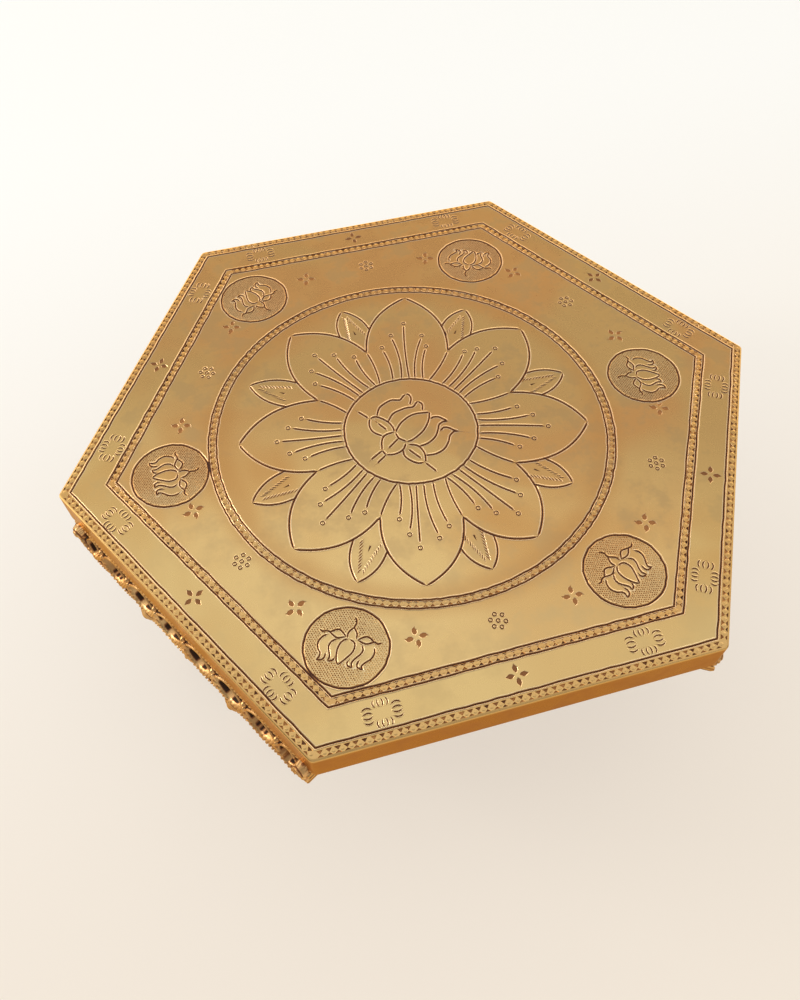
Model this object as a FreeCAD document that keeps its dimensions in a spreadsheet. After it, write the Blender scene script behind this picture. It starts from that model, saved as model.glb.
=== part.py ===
import FreeCAD, Part
import math
import os

# A low six-sided ritual table: a wooden board dressed in one chased brass sheet, with
# a pierced cast frieze under every other side and two cast legs behind each frieze.
# Frame: origin on the floor under the middle of the top, +Z up, a corner on +X
# and a bare straight side across -Y. Lengths in millimetres.

os.makedirs("parts", exist_ok=True)
doc = FreeCAD.newDocument("lowTable")
sheet = doc.addObject("Spreadsheet::Sheet", "sizes")

sizeRows = (
    ("topRadius", 203.2, "middle of the top to a corner"),
    ("tableHeight", 120, "floor to the top face"),
    ("sheetThickness", 1.2, "brass sheet of the top cap"),
    ("boardThickness", 19, "wooden board inside the cap"),
    ("boardClearance", 0.3, "board edge to the cap wall"),
    ("lipWidth", 16, "sheet turned in under the board"),
    ("cornerRound", 3, "upright corners of the cap"),
    ("rimRound", 1.1, "edge where the top turns down"),
    ("plankCount", 5, "planks side by side"),
    ("lineWidth", 1, "engraved border line"),
    ("lineDepth", 0.45, "engraved border line"),
    ("beadRow", 4.4, "bead row between two border lines"),
    ("rimLineInset", 5.6, "rim to the outer border line"),
    ("innerBorderInset", 22.5, "rim to the inner six-sided border"),
    ("roundBorderRadius", 114.6, "round border, outer line"),
    ("centreRadius", 38.5, "centre circle"),
    ("battenWidth", 30, "batten under the board"),
    ("battenThickness", 16, "batten under the board"),
    ("battenGap", 2.5, "batten side to the leg pads beside it"),
    ("battenEndGap", 8, "batten end to the line of the pad tips"),
    ("battenChamfer", 3, "lower edges of a batten"),
    ("castThickness", 4, "wall of a frieze"),
    ("castSetback", 1, "cap band to the frieze face, at the board"),
    ("castLean", 3, "frieze face, out from the board to the vine"),
    ("friezeInset", 3, "corner to the end of a frieze"),
    ("friezeEnd", 13, "height of a frieze at its ends"),
    ("friezeDrop", 30, "height of a frieze"),
    ("flangeWidth", 15, "frieze flange under the board"),
    ("flangeThickness", 3, "frieze flange and leg pad"),
    ("flangeInset", 4, "frieze end to the end of its flange"),
    ("flangeGap", 3, "leg pad to the flange beside it"),
    ("padReach", 40, "leg nose to the inner tip of its pad"),
    ("padHalf", 14.5, "leg axis to the side of its pad"),
    ("padTaper", 7, "pad side drawn in at the inner tip"),
    ("headBack", 1, "frieze back to the leg nose, at the board"),
    ("headWidth", 15, "nose to the middle of the leg curve, at the board"),
    ("collarBack", 2, "frieze back to the leg nose, at the collar"),
    ("collarWidth", 15, "leg at the collar"),
    ("kneeBack", 0.6, "frieze back to the leg nose, at the knee"),
    ("kneeWidth", 17, "leg at the knee"),
    ("shinBack", 3, "frieze back to the leg nose, at the shin"),
    ("shinWidth", 12, "leg at the shin"),
    ("ankleBack", 8, "frieze back to the leg nose, at the ankle"),
    ("ankleWidth", 9.5, "leg at the ankle"),
    ("toeBack", 3, "frieze back to the leg nose, at the toe"),
    ("toeWidth", 14, "leg at the toe"),
    ("legWall", 5.5, "wall of the hollow leg casting"),
    ("toeHeight", 5, "straight foot under the ankle curve"),
    ("waveCount", 8, "waves of the vine along a frieze"),
    ("legWave", 1.5, "waves from the middle of a side to a leg"),
    ("eyeDepth", 4.5, "band to the top of a pierced eye"),
    ("eyeHeight", 10.5, "pierced eye under the band"),
    ("eyeBar", 3.4, "metal between two eyes"),
    ("vineWidth", 3.2, "vine rail"),
    ("eyeEdge", 0.6, "metal between a pierced eye and the vine"),
    ("vineProud", 4.9, "vine rail, out from the frieze face"),
    ("leafWidth", 9, "hanging leaf"),
    ("leafHeight", 11, "hanging leaf"),
    ("leafProud", 4.6, "hanging leaf, out from the frieze face"),
    ("wingWidth", 21, "feathered leaf over a leg"),
    ("wingHeight", 19, "feathered leaf over a leg"),
    ("wingProud", 6.3, "feathered leaf, out from the frieze face"),
    ("slitWidth", 3.4, "pierced slit between two leaves"),
    ("slitHeight", 7, "pierced slit between two leaves"),
    ("scallopDrop", 4, "scallop of the lower edge"),
    ("scrollRadius", 4.6, "end scroll of a frieze"),
    ("scrollDepth", 0.6, "band or frieze end to an end scroll"),
    ("scrollProud", 6.3, "end scroll, out from the frieze face"),
    ("palmetteLength", 9.5, "petal of the middle palmette"),
    ("palmetteWidth", 4.6, "petal of the middle palmette"),
    ("palmetteProud", 5.2, "middle palmette, out from the frieze face"),
    ("palmetteCount", 5, "petals of the middle palmette"),
    ("palmetteBoss", 2.4, "radius of the boss that the petals spring from"),
    ("screwRadius", 1.6, "screw shank of legs and friezes"),
    ("screwHeadRadius", 3.2, "screw head of legs and friezes"),
    ("screwHeadHeight", 1.8, "screw head of legs and friezes"),
    ("screwLength", 15, "screw shank of legs and friezes"),
    ("slotWidth", 0.8, "screw slot"),
    ("slotDepth", 0.7, "screw slot"),
    ("screwClearance", 0.1, "screw shank to its hole"),
    ("friezeScrewInset", 23, "frieze end to its outer screw"),
    ("padScrewSpread", 8.5, "leg axis to an outer pad screw"),
    ("padScrewBack", 22, "leg nose to the two outer pad screws"),
    ("padTipInset", 8, "inner tip of the pad to its screw"),
    ("battenScrewRadius", 2, "screw shank of the battens"),
    ("battenScrewLength", 27, "screw shank of the battens"),
    ("battenHeadRadius", 4, "screw head of the battens"),
    ("cutOverrun", 2, "cutters past the face they open"),
)
for row, (alias, value, note) in enumerate(sizeRows, start=1):
    sheet.set("A%d" % row, note)
    sheet.set("B%d" % row, str(value))
    sheet.setAlias("B%d" % row, alias)
doc.recompute()


def size(alias):
    return float(sheet.get(alias))


sideCount = 6
halfStep = math.pi / sideCount
undersideZ = size("tableHeight") - size("boardThickness") - 2 * size("sheetThickness")
boardBottomZ = undersideZ + size("sheetThickness")
apothem = size("topRadius") * math.cos(halfStep)
faceDistance = apothem - size("castSetback")
backDistance = faceDistance - size("castThickness")
panelHalf = size("topRadius") / 2 - size("friezeInset")
wavePitch = 2 * panelHalf / size("waveCount")
legRun = size("legWave") * wavePitch
castSides = tuple(range(1, sideCount, 2))
slotTurnShare = 0.103
fanTurnShare = 0.42
origin = FreeCAD.Vector(0, 0, 0)
up = FreeCAD.Vector(0, 0, 1)
front = FreeCAD.Vector(0, -1, 0)


def sidePlace(step, run, distance):
    # a point beside the side that lies step turns past the front one
    angle = 2 * halfStep * step
    return FreeCAD.Vector(run * math.cos(angle) + distance * math.sin(angle),
                          run * math.sin(angle) - distance * math.cos(angle), 0)


def polygonFace(points):
    return Part.Face(Part.makePolygon(list(points) + [points[0]]))


def addFeature(name, shape):
    feature = doc.addObject("Part::Feature", name)
    feature.Label = name
    feature.Shape = shape
    return feature


def originPlane(body, role):
    return next(item for item in body.Origin.OriginFeatures if item.Role == role)


def addSketch(body, name, heightExpression):
    sketch = body.newObject("Sketcher::SketchObject", name)
    sketch.AttachmentSupport = [(originPlane(body, "XY_Plane"), "")]
    sketch.MapMode = "FlatFace"
    sketch.setExpression("AttachmentOffset.Base.z", heightExpression)
    return sketch


# Top cap: the sheet over the board, its band and the lip turned in below.

def hexagonPoints(radius):
    return [FreeCAD.Vector(radius * math.cos(2 * halfStep * k),
                           radius * math.sin(2 * halfStep * k), 0)
            for k in range(sideCount)]


def drawHexagon(sketch, radius):
    points = hexagonPoints(radius)
    for start, end in zip(points, points[1:] + points[:1]):
        sketch.addGeometry(Part.LineSegment(start, end), False)


def drawLinePair(draw, outerRadius, width):
    draw(outerRadius)
    draw(outerRadius - width)


def makeTopCap():
    body = doc.addObject("PartDesign::Body", "capBody")
    blank = body.newObject("PartDesign::AdditivePrism", "capBlank")
    blank.Polygon = sideCount
    blank.setExpression("Circumradius", "sizes.topRadius")
    blank.setExpression("Height", "sizes.boardThickness + 2 * sizes.sheetThickness")
    blank.setExpression("AttachmentOffset.Base.z",
                        "sizes.tableHeight - sizes.boardThickness - 2 * sizes.sheetThickness")
    blank.AttachmentSupport = [(originPlane(body, "XY_Plane"), "")]
    blank.MapMode = "FlatFace"
    doc.recompute()

    corners = []
    for number, edge in enumerate(blank.Shape.Edges, start=1):
        ends = [vertex.Z for vertex in edge.Vertexes]
        if max(ends) - min(ends) > size("sheetThickness"):
            corners.append("Edge%d" % number)
    cornerFillet = body.newObject("PartDesign::Fillet", "capCorners")
    cornerFillet.Base = (blank, corners)
    cornerFillet.setExpression("Radius", "sizes.cornerRound")
    doc.recompute()

    rim = []
    for number, edge in enumerate(cornerFillet.Shape.Edges, start=1):
        if min(vertex.Z for vertex in edge.Vertexes) > size("tableHeight") - size("sheetThickness"):
            rim.append("Edge%d" % number)
    rimFillet = body.newObject("PartDesign::Fillet", "capRim")
    rimFillet.Base = (cornerFillet, rim)
    rimFillet.setExpression("Radius", "sizes.rimRound")
    doc.recompute()

    cavity = body.newObject("PartDesign::SubtractivePrism", "capCavity")
    cavity.Polygon = sideCount
    cavity.setExpression("Circumradius", "sizes.topRadius - sizes.sheetThickness / cos(30)")
    cavity.setExpression("Height", "sizes.boardThickness")
    cavity.setExpression("AttachmentOffset.Base.z",
                         "sizes.tableHeight - sizes.boardThickness - sizes.sheetThickness")
    cavity.AttachmentSupport = [(originPlane(body, "XY_Plane"), "")]
    cavity.MapMode = "FlatFace"
    doc.recompute()

    mouth = body.newObject("PartDesign::SubtractivePrism", "capMouth")
    mouth.Polygon = sideCount
    mouth.setExpression("Circumradius", "sizes.topRadius - sizes.lipWidth / cos(30)")
    mouth.setExpression("Height", "sizes.boardThickness + sizes.sheetThickness")
    mouth.setExpression("AttachmentOffset.Base.z",
                        "sizes.tableHeight - sizes.boardThickness - 2 * sizes.sheetThickness")
    mouth.AttachmentSupport = [(originPlane(body, "XY_Plane"), "")]
    mouth.MapMode = "FlatFace"
    doc.recompute()

    lines = addSketch(body, "borderLines", "sizes.tableHeight")
    perCorner = 1 / math.cos(halfStep)
    hexagonRadii = (
        size("topRadius") - size("rimLineInset") * perCorner,
        size("topRadius") - size("innerBorderInset") * perCorner,
        size("topRadius") - (size("innerBorderInset") + size("beadRow")) * perCorner,
    )
    circleRadii = (
        size("roundBorderRadius"),
        size("roundBorderRadius") - size("beadRow"),
        size("centreRadius"),
    )
    for radius in hexagonRadii:
        drawLinePair(lambda r: drawHexagon(lines, r), radius, size("lineWidth") * perCorner)
    for radius in circleRadii:
        drawLinePair(lambda r: lines.addGeometry(Part.Circle(origin, up, r), False),
                     radius, size("lineWidth"))
    doc.recompute()
    engraving = body.newObject("PartDesign::Pocket", "borderEngraving")
    engraving.Profile = lines
    engraving.setExpression("Length", "sizes.lineDepth")
    before = mouth.Shape.Volume
    doc.recompute()
    if engraving.Shape.Volume >= before:
        engraving.Reversed = True
        doc.recompute()
    if engraving.Shape.Volume >= before:
        raise RuntimeError("the border lines cut nothing")

    # holes of the leg and frieze screws through the lip
    holes = doc.addObject("Part::Feature", "lipHoles")
    holes.Shape = screwHoles(flangeScrewPlaces(), size("screwRadius"),
                             undersideZ - size("cutOverrun"), size("cutOverrun") * 2)
    cap = doc.addObject("Part::Cut", "top_cap_drilled")
    cap.Base = body
    cap.Tool = holes
    doc.recompute()
    return cap


# Screws: where they stand, the holes they need and the screws themselves.

def padScrewPlaces():
    tipDistance = padTipDistance() + size("padTipInset")
    outerDistance = backDistance - size("headBack") - size("padScrewBack")
    spread = size("padScrewSpread")
    places = []
    for step in castSides:
        for run in (-legRun, legRun):
            places.append(sidePlace(step, run, tipDistance))
            places.append(sidePlace(step, run - spread, outerDistance))
            places.append(sidePlace(step, run + spread, outerDistance))
    return places


def friezeScrewPlaces():
    distance = backDistance - size("flangeWidth") / 2
    outer = panelHalf - size("friezeScrewInset")
    return [sidePlace(step, run, distance) for step in castSides for run in (-outer, 0, outer)]


def flangeScrewPlaces():
    return padScrewPlaces() + friezeScrewPlaces()


def battenScrewPlaces(side):
    plankWidth = 2 * (apothem - size("sheetThickness")) / size("plankCount")
    count = int(size("plankCount"))
    first = -plankWidth * (count - 1) / 2
    halfLength = battenHalfLength()
    margin = size("battenHeadRadius") * 2
    places = []
    for k in range(count):
        y = max(-halfLength + margin, min(halfLength - margin, first + k * plankWidth))
        places.append(FreeCAD.Vector(side * battenOffset(), y, 0))
    return places


def padTipDistance():
    return backDistance - size("headBack") - size("padReach")


def battenHalfLength():
    return padTipDistance() - size("battenEndGap")


def battenOffset():
    # the outer side of a batten lies beside the inner tips of the pads in front of it
    tipHalf = size("padHalf") - size("padTaper")
    tip = sidePlace(1, -legRun - tipHalf, padTipDistance())
    return tip.x - size("battenGap") - size("battenWidth") / 2


def screwHoles(places, radius, bottomZ, height):
    cylinders = [Part.makeCylinder(radius + size("screwClearance"), height,
                                   FreeCAD.Vector(place.x, place.y, bottomZ))
                 for place in places]
    return Part.makeCompound(cylinders)


def roundHeadScrew(radius, headRadius, headHeight, length):
    # tip up, the flat under the head at zero
    tip = radius
    outline = [
        Part.LineSegment(FreeCAD.Vector(0, 0, length), FreeCAD.Vector(radius, 0, length - tip)),
        Part.LineSegment(FreeCAD.Vector(radius, 0, length - tip), FreeCAD.Vector(radius, 0, 0)),
        Part.LineSegment(FreeCAD.Vector(radius, 0, 0), FreeCAD.Vector(headRadius, 0, 0)),
        Part.Arc(FreeCAD.Vector(headRadius, 0, 0),
                 FreeCAD.Vector(headRadius * math.cos(math.pi / 4), 0,
                                -headHeight * math.sin(math.pi / 4)),
                 FreeCAD.Vector(0, 0, -headHeight)),
        Part.LineSegment(FreeCAD.Vector(0, 0, -headHeight), FreeCAD.Vector(0, 0, length)),
    ]
    wire = Part.Wire([curve.toShape() for curve in outline])
    screw = Part.Face(wire).revolve(origin, up, 360)
    overrun = size("cutOverrun")
    slot = Part.makeBox(2 * (headRadius + overrun), size("slotWidth"), overrun + size("slotDepth"),
                        FreeCAD.Vector(-headRadius - overrun, -size("slotWidth") / 2,
                                       -headHeight - overrun))
    return screw.cut(slot)


def makeScrews(name, places, seatZ, radius, headRadius, headHeight, length):
    pattern = roundHeadScrew(radius, headRadius, headHeight, length)
    screws = []
    for number, place in enumerate(places):
        screw = pattern.copy()
        screw.rotate(origin, up, 360 * slotTurnShare * number)
        screw.translate(FreeCAD.Vector(place.x, place.y, seatZ))
        screws.append(screw)
    return addFeature(name, Part.makeCompound(screws))


# Board: planks side by side inside the cap, held by two battens.

def makePlank(number, holes):
    inner = "(sizes.topRadius * cos(30) - sizes.sheetThickness)"
    box = doc.addObject("Part::Box", "plankBlank%d" % number)
    box.setExpression("Length", "2 * sizes.topRadius")
    box.setExpression("Width", "2 * %s / sizes.plankCount" % inner)
    box.setExpression("Height", "sizes.boardThickness")
    box.setExpression("Placement.Base.x", "-sizes.topRadius")
    box.setExpression("Placement.Base.y",
                      "-%s + 2 * %s / sizes.plankCount * %d" % (inner, inner, number - 1))
    box.setExpression("Placement.Base.z",
                      "sizes.tableHeight - sizes.sheetThickness - sizes.boardThickness")
    outline = doc.addObject("Part::Prism", "boardOutline%d" % number)
    outline.Polygon = sideCount
    outline.setExpression("Circumradius", "sizes.topRadius"
                          " - (sizes.sheetThickness + sizes.boardClearance) / cos(30)")
    outline.setExpression("Height", "sizes.boardThickness")
    outline.setExpression("Placement.Base.z",
                          "sizes.tableHeight - sizes.sheetThickness - sizes.boardThickness")
    plank = doc.addObject("Part::Common", "plankSawn%d" % number)
    plank.Base = box
    plank.Tool = outline
    drilled = doc.addObject("Part::Cut", "plank_%d" % number)
    drilled.Base = plank
    drilled.Tool = holes
    drilled.Label = "plank_%d" % number
    return drilled


def makeBatten(name, side):
    body = doc.addObject("PartDesign::Body", name + "Body")
    sketch = addSketch(body, name + "Plan",
                       "sizes.tableHeight - sizes.sheetThickness - sizes.boardThickness")
    halfWidth = size("battenWidth") / 2
    halfLength = battenHalfLength()
    middle = side * battenOffset()
    corners = [FreeCAD.Vector(middle - halfWidth, -halfLength, 0),
               FreeCAD.Vector(middle + halfWidth, -halfLength, 0),
               FreeCAD.Vector(middle + halfWidth, halfLength, 0),
               FreeCAD.Vector(middle - halfWidth, halfLength, 0)]
    for start, end in zip(corners, corners[1:] + corners[:1]):
        sketch.addGeometry(Part.LineSegment(start, end), False)
    pad = body.newObject("PartDesign::Pad", name + "Pad")
    pad.Profile = sketch
    pad.setExpression("Length", "sizes.battenThickness")
    pad.Reversed = True
    doc.recompute()
    lower = min(vertex.Z for vertex in pad.Shape.Vertexes)
    edges = ["Edge%d" % number for number, edge in enumerate(pad.Shape.Edges, start=1)
             if all(abs(vertex.Z - lower) < size("screwClearance") for vertex in edge.Vertexes)]
    chamfer = body.newObject("PartDesign::Chamfer", name + "Chamfer")
    chamfer.Base = (pad, edges)
    chamfer.setExpression("Size", "sizes.battenChamfer")
    holes = doc.addObject("Part::Feature", name + "Holes")
    holes.Shape = screwHoles(battenScrewPlaces(side), size("battenScrewRadius"),
                             boardBottomZ - size("battenThickness") - size("cutOverrun"),
                             size("battenThickness") + 2 * size("cutOverrun"))
    batten = doc.addObject("Part::Cut", name)
    batten.Base = body
    batten.Tool = holes
    batten.Label = name
    return batten


# Leg: a hollow cast cabriole behind the frieze, with a pad under the board.
# It is drawn on the front side, with its axis at no run.

def legSection(back, width, z):
    nose = backDistance - back
    centre = nose - width
    inner = width - min(size("legWall"), width / 2)
    spread = math.pi / 3

    def point(radius, angle):
        return FreeCAD.Vector(radius * math.sin(angle), -centre - radius * math.cos(angle), z)

    outerArc = Part.Arc(point(width, -spread), point(width, 0), point(width, spread))
    innerArc = Part.Arc(point(inner, spread), point(inner, 0), point(inner, -spread))
    sideOne = Part.LineSegment(point(width, spread), point(inner, spread))
    sideTwo = Part.LineSegment(point(inner, -spread), point(width, -spread))
    return Part.Wire([curve.toShape() for curve in (outerArc, sideOne, innerArc, sideTwo)])


def legLoft():
    heightShares = (1.0, 0.7, 0.55, 0.37, 0.17)
    stations = ("head", "collar", "knee", "shin", "ankle")
    sections = [legSection(size(name + "Back"), size(name + "Width"), undersideZ * share)
                for name, share in zip(stations, heightShares)]
    sections.append(legSection(size("toeBack"), size("toeWidth"), size("toeHeight")))
    curved = Part.makeLoft(sections, True, False)
    toe = Part.Face(legSection(size("toeBack"), size("toeWidth"), 0))
    return curved.fuse(toe.extrude(up * size("toeHeight")))


def legPad():
    nose = backDistance - size("headBack")
    half = size("padHalf")
    tipHalf = half - size("padTaper")
    shoulder = nose - size("padScrewBack") - size("padTipInset") / 2
    tip = padTipDistance()
    # the pad starts behind the curve of the head
    start = nose - size("headWidth") / 2
    outline = [FreeCAD.Vector(run, -distance, 0) for run, distance in (
        (-half, start), (half, start), (half, shoulder), (tipHalf, tip), (-tipHalf, tip),
        (-half, shoulder))]
    pad = polygonFace(outline).extrude(up * size("flangeThickness"))
    pad.translate(up * (undersideZ - size("flangeThickness")))
    spread = size("padScrewSpread")
    places = [FreeCAD.Vector(0, -tip - size("padTipInset"), 0),
              FreeCAD.Vector(-spread, size("padScrewBack") - nose, 0),
              FreeCAD.Vector(spread, size("padScrewBack") - nose, 0)]
    holes = screwHoles(places, size("screwRadius"),
                       undersideZ - size("flangeThickness") - size("cutOverrun"),
                       size("flangeThickness") + 2 * size("cutOverrun"))
    return pad, holes


def makeLegs():
    pad, holes = legPad()
    leg = legLoft().fuse([pad]).removeSplitter().cut(holes)
    legs = []
    for step in castSides:
        for run in (-legRun, legRun):
            legs.append(addFeature("leg_%d" % (len(legs) + 1), leg))
            legs[-1].Placement = FreeCAD.Placement(
                sidePlace(step, run, 0), FreeCAD.Rotation(up, 360 / sideCount * step))
    return legs


# Frieze: a pierced cast panel with a waving vine, hanging leaves, a feathered leaf
# over each leg and a small palmette in the middle.
# It is drawn on the front side, where the run is X and the face looks along -Y.

def onFace(run, drop):
    return FreeCAD.Vector(run, -faceDistance, undersideZ - drop)


def raised(face, proud):
    # from the back of the lower plate to its height over the face
    depth = size("castThickness") - size("castLean")
    solid = face.extrude(front * (proud + depth))
    solid.translate(FreeCAD.Vector(0, depth, 0))
    return solid


def lensFace(run, drop, halfRun, halfDrop):
    left = onFace(run - halfRun, drop)
    right = onFace(run + halfRun, drop)
    crown = Part.Arc(left, onFace(run, drop - halfDrop), right)
    belly = Part.Arc(right, onFace(run, drop + halfDrop), left)
    return Part.Face(Part.Wire([crown.toShape(), belly.toShape()]))


def leafFace(run, drop, length, width):
    # a leaf that hangs from its stalk at run and drop
    stalk = onFace(run, drop)
    tip = onFace(run, drop + length)
    left = onFace(run - width / 2, drop + length / 2)
    right = onFace(run + width / 2, drop + length / 2)
    edges = [Part.Arc(stalk, left, tip).toShape(), Part.Arc(tip, right, stalk).toShape()]
    return Part.Face(Part.Wire(edges))


def palmettePieces(drop):
    boss = size("palmetteBoss")
    middle = onFace(0, drop + boss)
    pieces = [raised(Part.Face(Part.Wire(Part.makeCircle(boss, middle, front))),
                     size("palmetteProud") + boss / 3)]
    count = int(size("palmetteCount"))
    for k in range(count):
        share = k / (count - 1) - 0.5
        length = size("palmetteLength") * (1 - abs(share) / 2)
        petal = leafFace(0, drop + boss * 3 / 2, length, size("palmetteWidth"))
        petal.rotate(middle, front, 360 * fanTurnShare * share)
        pieces.append(raised(petal, size("palmetteProud") * (1 - abs(share) / 3)))
    return pieces


def wingPieces(run, drop):
    # a broad leaf with a smaller and prouder one on it
    innerShare = 0.66
    proud = size("wingProud")
    length, width = size("wingHeight"), size("wingWidth")
    outer = leafFace(run, drop, length, width)
    inner = leafFace(run, drop + length * (1 - innerShare) / 2, length * innerShare,
                     width * innerShare)
    return [raised(outer, proud * innerShare), raised(inner, proud)]


def waveMiddles():
    return [-panelHalf + wavePitch * (k + 0.5) for k in range(int(size("waveCount")))]


def vineDrop():
    # the upper edge of the vine, at the foot of its waves
    return size("eyeDepth") + size("eyeHeight") + size("eyeEdge")


def leaningSlab():
    # the plate leans out from the board to the vine and is upright below it
    below = undersideZ - size("friezeDrop") - size("cutOverrun")
    bend = undersideZ - vineDrop()
    thick, lean = size("castThickness"), size("castLean")
    corners = ((faceDistance, undersideZ), (faceDistance + lean, bend),
               (faceDistance + lean, below), (faceDistance + lean - thick, below),
               (faceDistance + lean - thick, bend), (faceDistance - thick, undersideZ))
    profile = polygonFace([FreeCAD.Vector(-panelHalf, -distance, z) for distance, z in corners])
    return profile.extrude(FreeCAD.Vector(2 * panelHalf, 0, 0))


def friezePlate():
    cusp = size("friezeDrop") - size("scallopDrop")
    low = size("friezeDrop")
    middles = waveMiddles()
    quarter = wavePitch / 4
    nearLow = low - size("scallopDrop") / 4
    endMiddle = size("friezeEnd") + (low - size("friezeEnd")) * 3 / 4
    edges = [Part.LineSegment(onFace(panelHalf, size("friezeEnd")), onFace(panelHalf, 0)),
             Part.LineSegment(onFace(panelHalf, 0), onFace(-panelHalf, 0)),
             Part.LineSegment(onFace(-panelHalf, 0), onFace(-panelHalf, size("friezeEnd"))),
             Part.Arc(onFace(-panelHalf, size("friezeEnd")),
                      onFace(middles[0] - quarter, endMiddle), onFace(middles[0], low))]
    for left, right in zip(middles, middles[1:]):
        edges.append(Part.Arc(onFace(left, low), onFace(left + quarter, nearLow),
                              onFace(left + 2 * quarter, cusp)))
        edges.append(Part.Arc(onFace(right - 2 * quarter, cusp),
                              onFace(right - quarter, nearLow), onFace(right, low)))
    edges.append(Part.Arc(onFace(middles[-1], low), onFace(middles[-1] + quarter, endMiddle),
                          onFace(panelHalf, size("friezeEnd"))))
    outline = Part.Face(Part.Wire([edge.toShape() for edge in edges]))
    depth = size("castThickness") + size("castLean") + 2 * size("cutOverrun")
    block = outline.extrude(front * depth)
    block.translate(FreeCAD.Vector(0, size("castThickness") + size("cutOverrun"), 0))
    return block.common(leaningSlab())


def vineFace(middle):
    eyeMiddle = size("eyeDepth") + size("eyeHeight") / 2
    top = eyeMiddle + size("eyeHeight") / 2 + size("eyeEdge")
    low = top + size("vineWidth")
    half = wavePitch / 2
    upper = Part.Arc(onFace(middle - half, eyeMiddle), onFace(middle, top),
                     onFace(middle + half, eyeMiddle))
    lower = Part.Arc(onFace(middle + half, eyeMiddle + size("vineWidth")), onFace(middle, low),
                     onFace(middle - half, eyeMiddle + size("vineWidth")))
    right = Part.LineSegment(onFace(middle + half, eyeMiddle),
                             onFace(middle + half, eyeMiddle + size("vineWidth")))
    left = Part.LineSegment(onFace(middle - half, eyeMiddle + size("vineWidth")),
                            onFace(middle - half, eyeMiddle))
    return Part.Face(Part.Wire([curve.toShape() for curve in (upper, right, lower, left)]))


def flangePieces():
    # the flange is open where the two leg pads stand
    beside = legRun - size("padHalf") - size("flangeGap")
    beyond = legRun + size("padHalf") + size("flangeGap")
    end = panelHalf - size("flangeInset")
    pieces = []
    for start, stop in ((-end, -beyond), (-beside, beside), (beyond, end)):
        pieces.append(Part.makeBox(stop - start, size("flangeWidth") + size("castThickness"),
                                   size("flangeThickness"),
                                   FreeCAD.Vector(start, -faceDistance,
                                                  undersideZ - size("flangeThickness"))))
    return pieces


def eyeCutters(eyeMiddle):
    halfRun = (wavePitch - size("eyeBar")) / 2
    return [lensFace(middle, eyeMiddle, halfRun, size("eyeHeight") / 2)
            for middle in waveMiddles()]


def slitCutters(drop):
    middles = waveMiddles()
    cutters = []
    for left, right in zip(middles, middles[1:]):
        run = (left + right) / 2
        if abs(run) < wavePitch / 2:
            continue
        slit = lensFace(0, 0, size("slitHeight") / 2, size("slitWidth") / 2)
        slit.rotate(onFace(0, 0), front, 90)
        slit.translate(FreeCAD.Vector(run, 0, -drop - size("slitHeight") / 2))
        cutters.append(slit)
    return cutters


def scrollPieces():
    radius = size("scrollRadius")
    middle = panelHalf - radius - size("scrollDepth")
    pieces = []
    for run in (-middle, middle):
        disc = Part.makeCircle(radius, onFace(run, size("scrollDepth") + radius), front)
        pieces.append(raised(Part.Face(Part.Wire(disc)), size("scrollProud")))
    return pieces


def makeFriezes():
    eyeMiddle = size("eyeDepth") + size("eyeHeight") / 2
    vineTop = vineDrop()
    leafTop = vineTop + size("vineWidth") / 2
    pieces = flangePieces() + palmettePieces(vineTop)
    for middle in waveMiddles():
        pieces.append(raised(vineFace(middle), size("vineProud")))
        if abs(abs(middle) - legRun) < wavePitch / 2:
            pieces += wingPieces(middle, vineTop)
        else:
            pieces.append(raised(leafFace(middle, leafTop, size("leafHeight"),
                                          size("leafWidth")), size("leafProud")))
    panel = friezePlate().fuse(pieces)

    overrun = size("cutOverrun")
    depth = size("castThickness") + size("wingProud") + 2 * overrun
    holes = []
    for face in eyeCutters(eyeMiddle) + slitCutters(vineTop + size("eyeEdge")):
        hole = face.extrude(front * depth)
        hole.translate(FreeCAD.Vector(0, size("castThickness") + overrun, 0))
        holes.append(hole)
    distance = backDistance - size("flangeWidth") / 2
    outer = panelHalf - size("friezeScrewInset")
    places = [FreeCAD.Vector(run, -distance, 0) for run in (-outer, 0, outer)]
    holes += screwHoles(places, size("screwRadius"),
                        undersideZ - size("flangeThickness") - overrun,
                        size("flangeThickness") + 2 * overrun).Solids
    panel = panel.cut(holes).fuse(scrollPieces()).removeSplitter()
    friezes = []
    for number, step in enumerate(castSides, start=1):
        friezes.append(addFeature("frieze_%d" % number, panel))
        friezes[-1].Placement = FreeCAD.Placement(origin,
                                                  FreeCAD.Rotation(up, 360 / sideCount * step))
    return friezes


# Assembly

subParts = []
cap = makeTopCap()
cap.Label = "top_cap"
subParts.append(cap)

boardHoles = doc.addObject("Part::Feature", "boardHoles")
flangeHoles = screwHoles(flangeScrewPlaces(), size("screwRadius"),
                         boardBottomZ - size("cutOverrun"),
                         size("cutOverrun") + size("screwLength"))
battenHoles = screwHoles(battenScrewPlaces(-1) + battenScrewPlaces(1), size("battenScrewRadius"),
                         boardBottomZ - size("cutOverrun"),
                         size("cutOverrun") + size("battenScrewLength") - size("battenThickness")
                         + size("screwClearance"))
boardHoles.Shape = Part.makeCompound(flangeHoles.Solids + battenHoles.Solids)
for number in range(1, int(size("plankCount")) + 1):
    subParts.append(makePlank(number, boardHoles))
subParts.append(makeBatten("batten_left", -1))
subParts.append(makeBatten("batten_right", 1))
subParts += makeLegs()
subParts += makeFriezes()

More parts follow.
